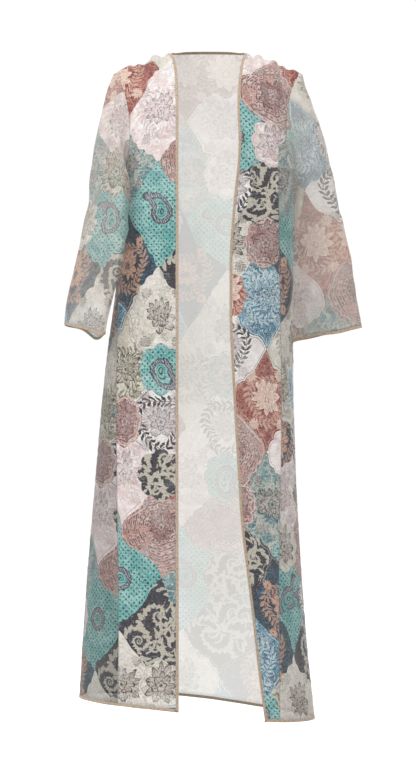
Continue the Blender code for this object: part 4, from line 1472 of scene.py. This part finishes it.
# %% Printed cloth
def cloth_material(name, shift, fade, paper, see_through, rough, double=0.0, painted_shade=0.0):
    """Printed crepe: where the print starts, how far it fades towards the paper, how sheer the
    cloth is, past which place (in metres across, 0 for none) it lies double, and how much
    painted shade darkens it there."""
    finish, tree, shader, place = fabric(name, 0.25, 0.25)
    shader.inputs["Sheen Roughness"].default_value = 0.45
    moved = tree.nodes.new("ShaderNodeMapping")
    moved.inputs["Location"].default_value = (*shift, 0.0)
    plug(tree, moved.inputs["Vector"], place)
    place = Wire(tree, moved.outputs["Vector"])
    if double:
        own = tree.nodes.new("ShaderNodeTexCoord")
        across, _, height = split(Wire(tree, own.outputs["Object"]))
        inward = across * math.copysign(1.0, double) - (height * 7.0).sin() * 0.003
        strip = inward.rise(abs(double), abs(double) + 0.0008) * height.rise(-0.16, -0.20)
        x, y, _ = split(place)
        place = join(x + strip * DOUBLE_SHIFT[0], y + strip * DOUBLE_SHIFT[1])
        # Painted shade: the doubled strip fades towards the near-black grey, with a thin painted
        # shadow line at its edge.
        fade = strip * painted_shade + (inward - abs(double)).line(0.0011) * 0.2
    relief = place_group(tree, crepe_group, place)[0]
    dress(tree, shader, place_group(tree, collage_group, place, fade, paper)[0],
          relief * 0.12 + rough, relief, 0.5, 0.00012)

    clear = tree.nodes.new("ShaderNodeBsdfTransparent")
    rays = tree.nodes.new("ShaderNodeLightPath")
    geometry = tree.nodes.new("ShaderNodeNewGeometry")
    shadow = Wire(tree, rays.outputs["Is Shadow Ray"])
    behind = Wire(tree, geometry.outputs["Backfacing"])
    plug(tree, clear.inputs["Color"], 1.0 - shadow * (1.0 - behind) * SHADE)
    mix = tree.nodes.new("ShaderNodeMixShader")
    plug(tree, mix.inputs[0], shadow.most(behind).most(see_through))
    tree.links.new(shader.outputs[0], mix.inputs[1])
    tree.links.new(clear.outputs[0], mix.inputs[2])
    tree.links.new(mix.outputs[0], tree.nodes["Material Output"].inputs["Surface"])
    print(name, "has", len(tree.nodes), "nodes")
    return finish


made(cloth_material)

# %% Cloth on the panels
PRINT_SHIFTS = {
    "cloth_back": (0.802, 1.441),
    "cloth_front_right": (0.786, 0.708),
    "cloth_front_left": (-0.740, 1.180),
    "cloth_sleeve_right": (1.006, 1.307),
    "cloth_sleeve_left": (0.255, 0.415),
}
# The sleeves' print is washed towards beige for their sheer layers; the left sleeve's larger wash
# is also painted light that brightens its shaded side.
SLEEVE_WASH_AND_PAINTED_LIGHT = {"cloth_sleeve_right": 0.20, "cloth_sleeve_left": 0.27}
# Where each front's doubled strip starts, and how much painted shade darkens it.
DOUBLE = {"cloth_front_right": (-0.178, 0.42), "cloth_front_left": (0.142, 0.20)}
for piece in cloth_pieces:
    shift, wash_and_painted_light = PRINT_SHIFTS[piece.name], SLEEVE_WASH_AND_PAINTED_LIGHT.get(piece.name, 0.0)
    if "sleeve" in piece.name:
        outside = (wash_and_painted_light, SLEEVE_BEIGE, 0.30, 0.62)
        inside = (0.06, WRONG_SIDE_WHITE, 0.24, 0.75)
    else:
        outside = (wash_and_painted_light, DOUBLE_PAINTED_SHADE, 0.08, 0.62, *DOUBLE.get(piece.name, ()))
        inside = (0.58, WRONG_SIDE_WHITE, 0.24, 0.75)
    piece.data.materials.append(cloth_material(piece.name + "_face", shift, *outside))
    piece.data.materials.append(cloth_material(piece.name + "_wrong_side", shift, *inside))

# %% [markdown]
# The binding is plain satin tape in tan, with painted shade that makes it a little darker in its
# creases, and a row of short machine stitches in matching thread. Its UV map runs along and round
# the tape in metres and in shares, which is all that the threads, the ribs and the stitches need.

# %% Binding tape
STITCH, STITCH_ROWS, THREAD = 0.0031, (0.157, 0.788), tint("CDB8A0")


def tape_material(name, colour, painted_shade):
    finish, tree, shader, place = fabric(name, 0.35, 0.2)
    along, around, _ = split(place)
    uneven, _ = cloud(join(along * 260.0, around * 6.0), 1.0, 3.0, 0.6)
    rib = (along * 9000.0 + uneven * 3.0).sin()
    first, second = ((around - row).line(0.011) for row in STITCH_ROWS)
    stitch = first.most(second) * ((along / STITCH).fract() - 0.5).line(0.36, 0.12)
    # Painted shade: the tape is darker where its relief dips.
    tone = blend(tint(painted_shade), tint(colour), uneven.rise(0.30, 0.62))
    dress(tree, shader, blend(tone, THREAD, stitch * 0.8), uneven * 0.2 + 0.42,
          rib * 0.25 + uneven + stitch * 1.6, 0.6, 0.0002)
    return finish


tape_finish = tape_material("binding_tape", "B9A590", "99846F")
# The half of the tape inside the garment is darker.
tape_inner_half = tape_material("binding_tape_wrong_side", "94866F", "786B58")
for piece in bindings.values():
    piece.data.materials.append(tape_finish)
    piece.data.materials.append(tape_inner_half)
print("materials:", len(bpy.data.materials))
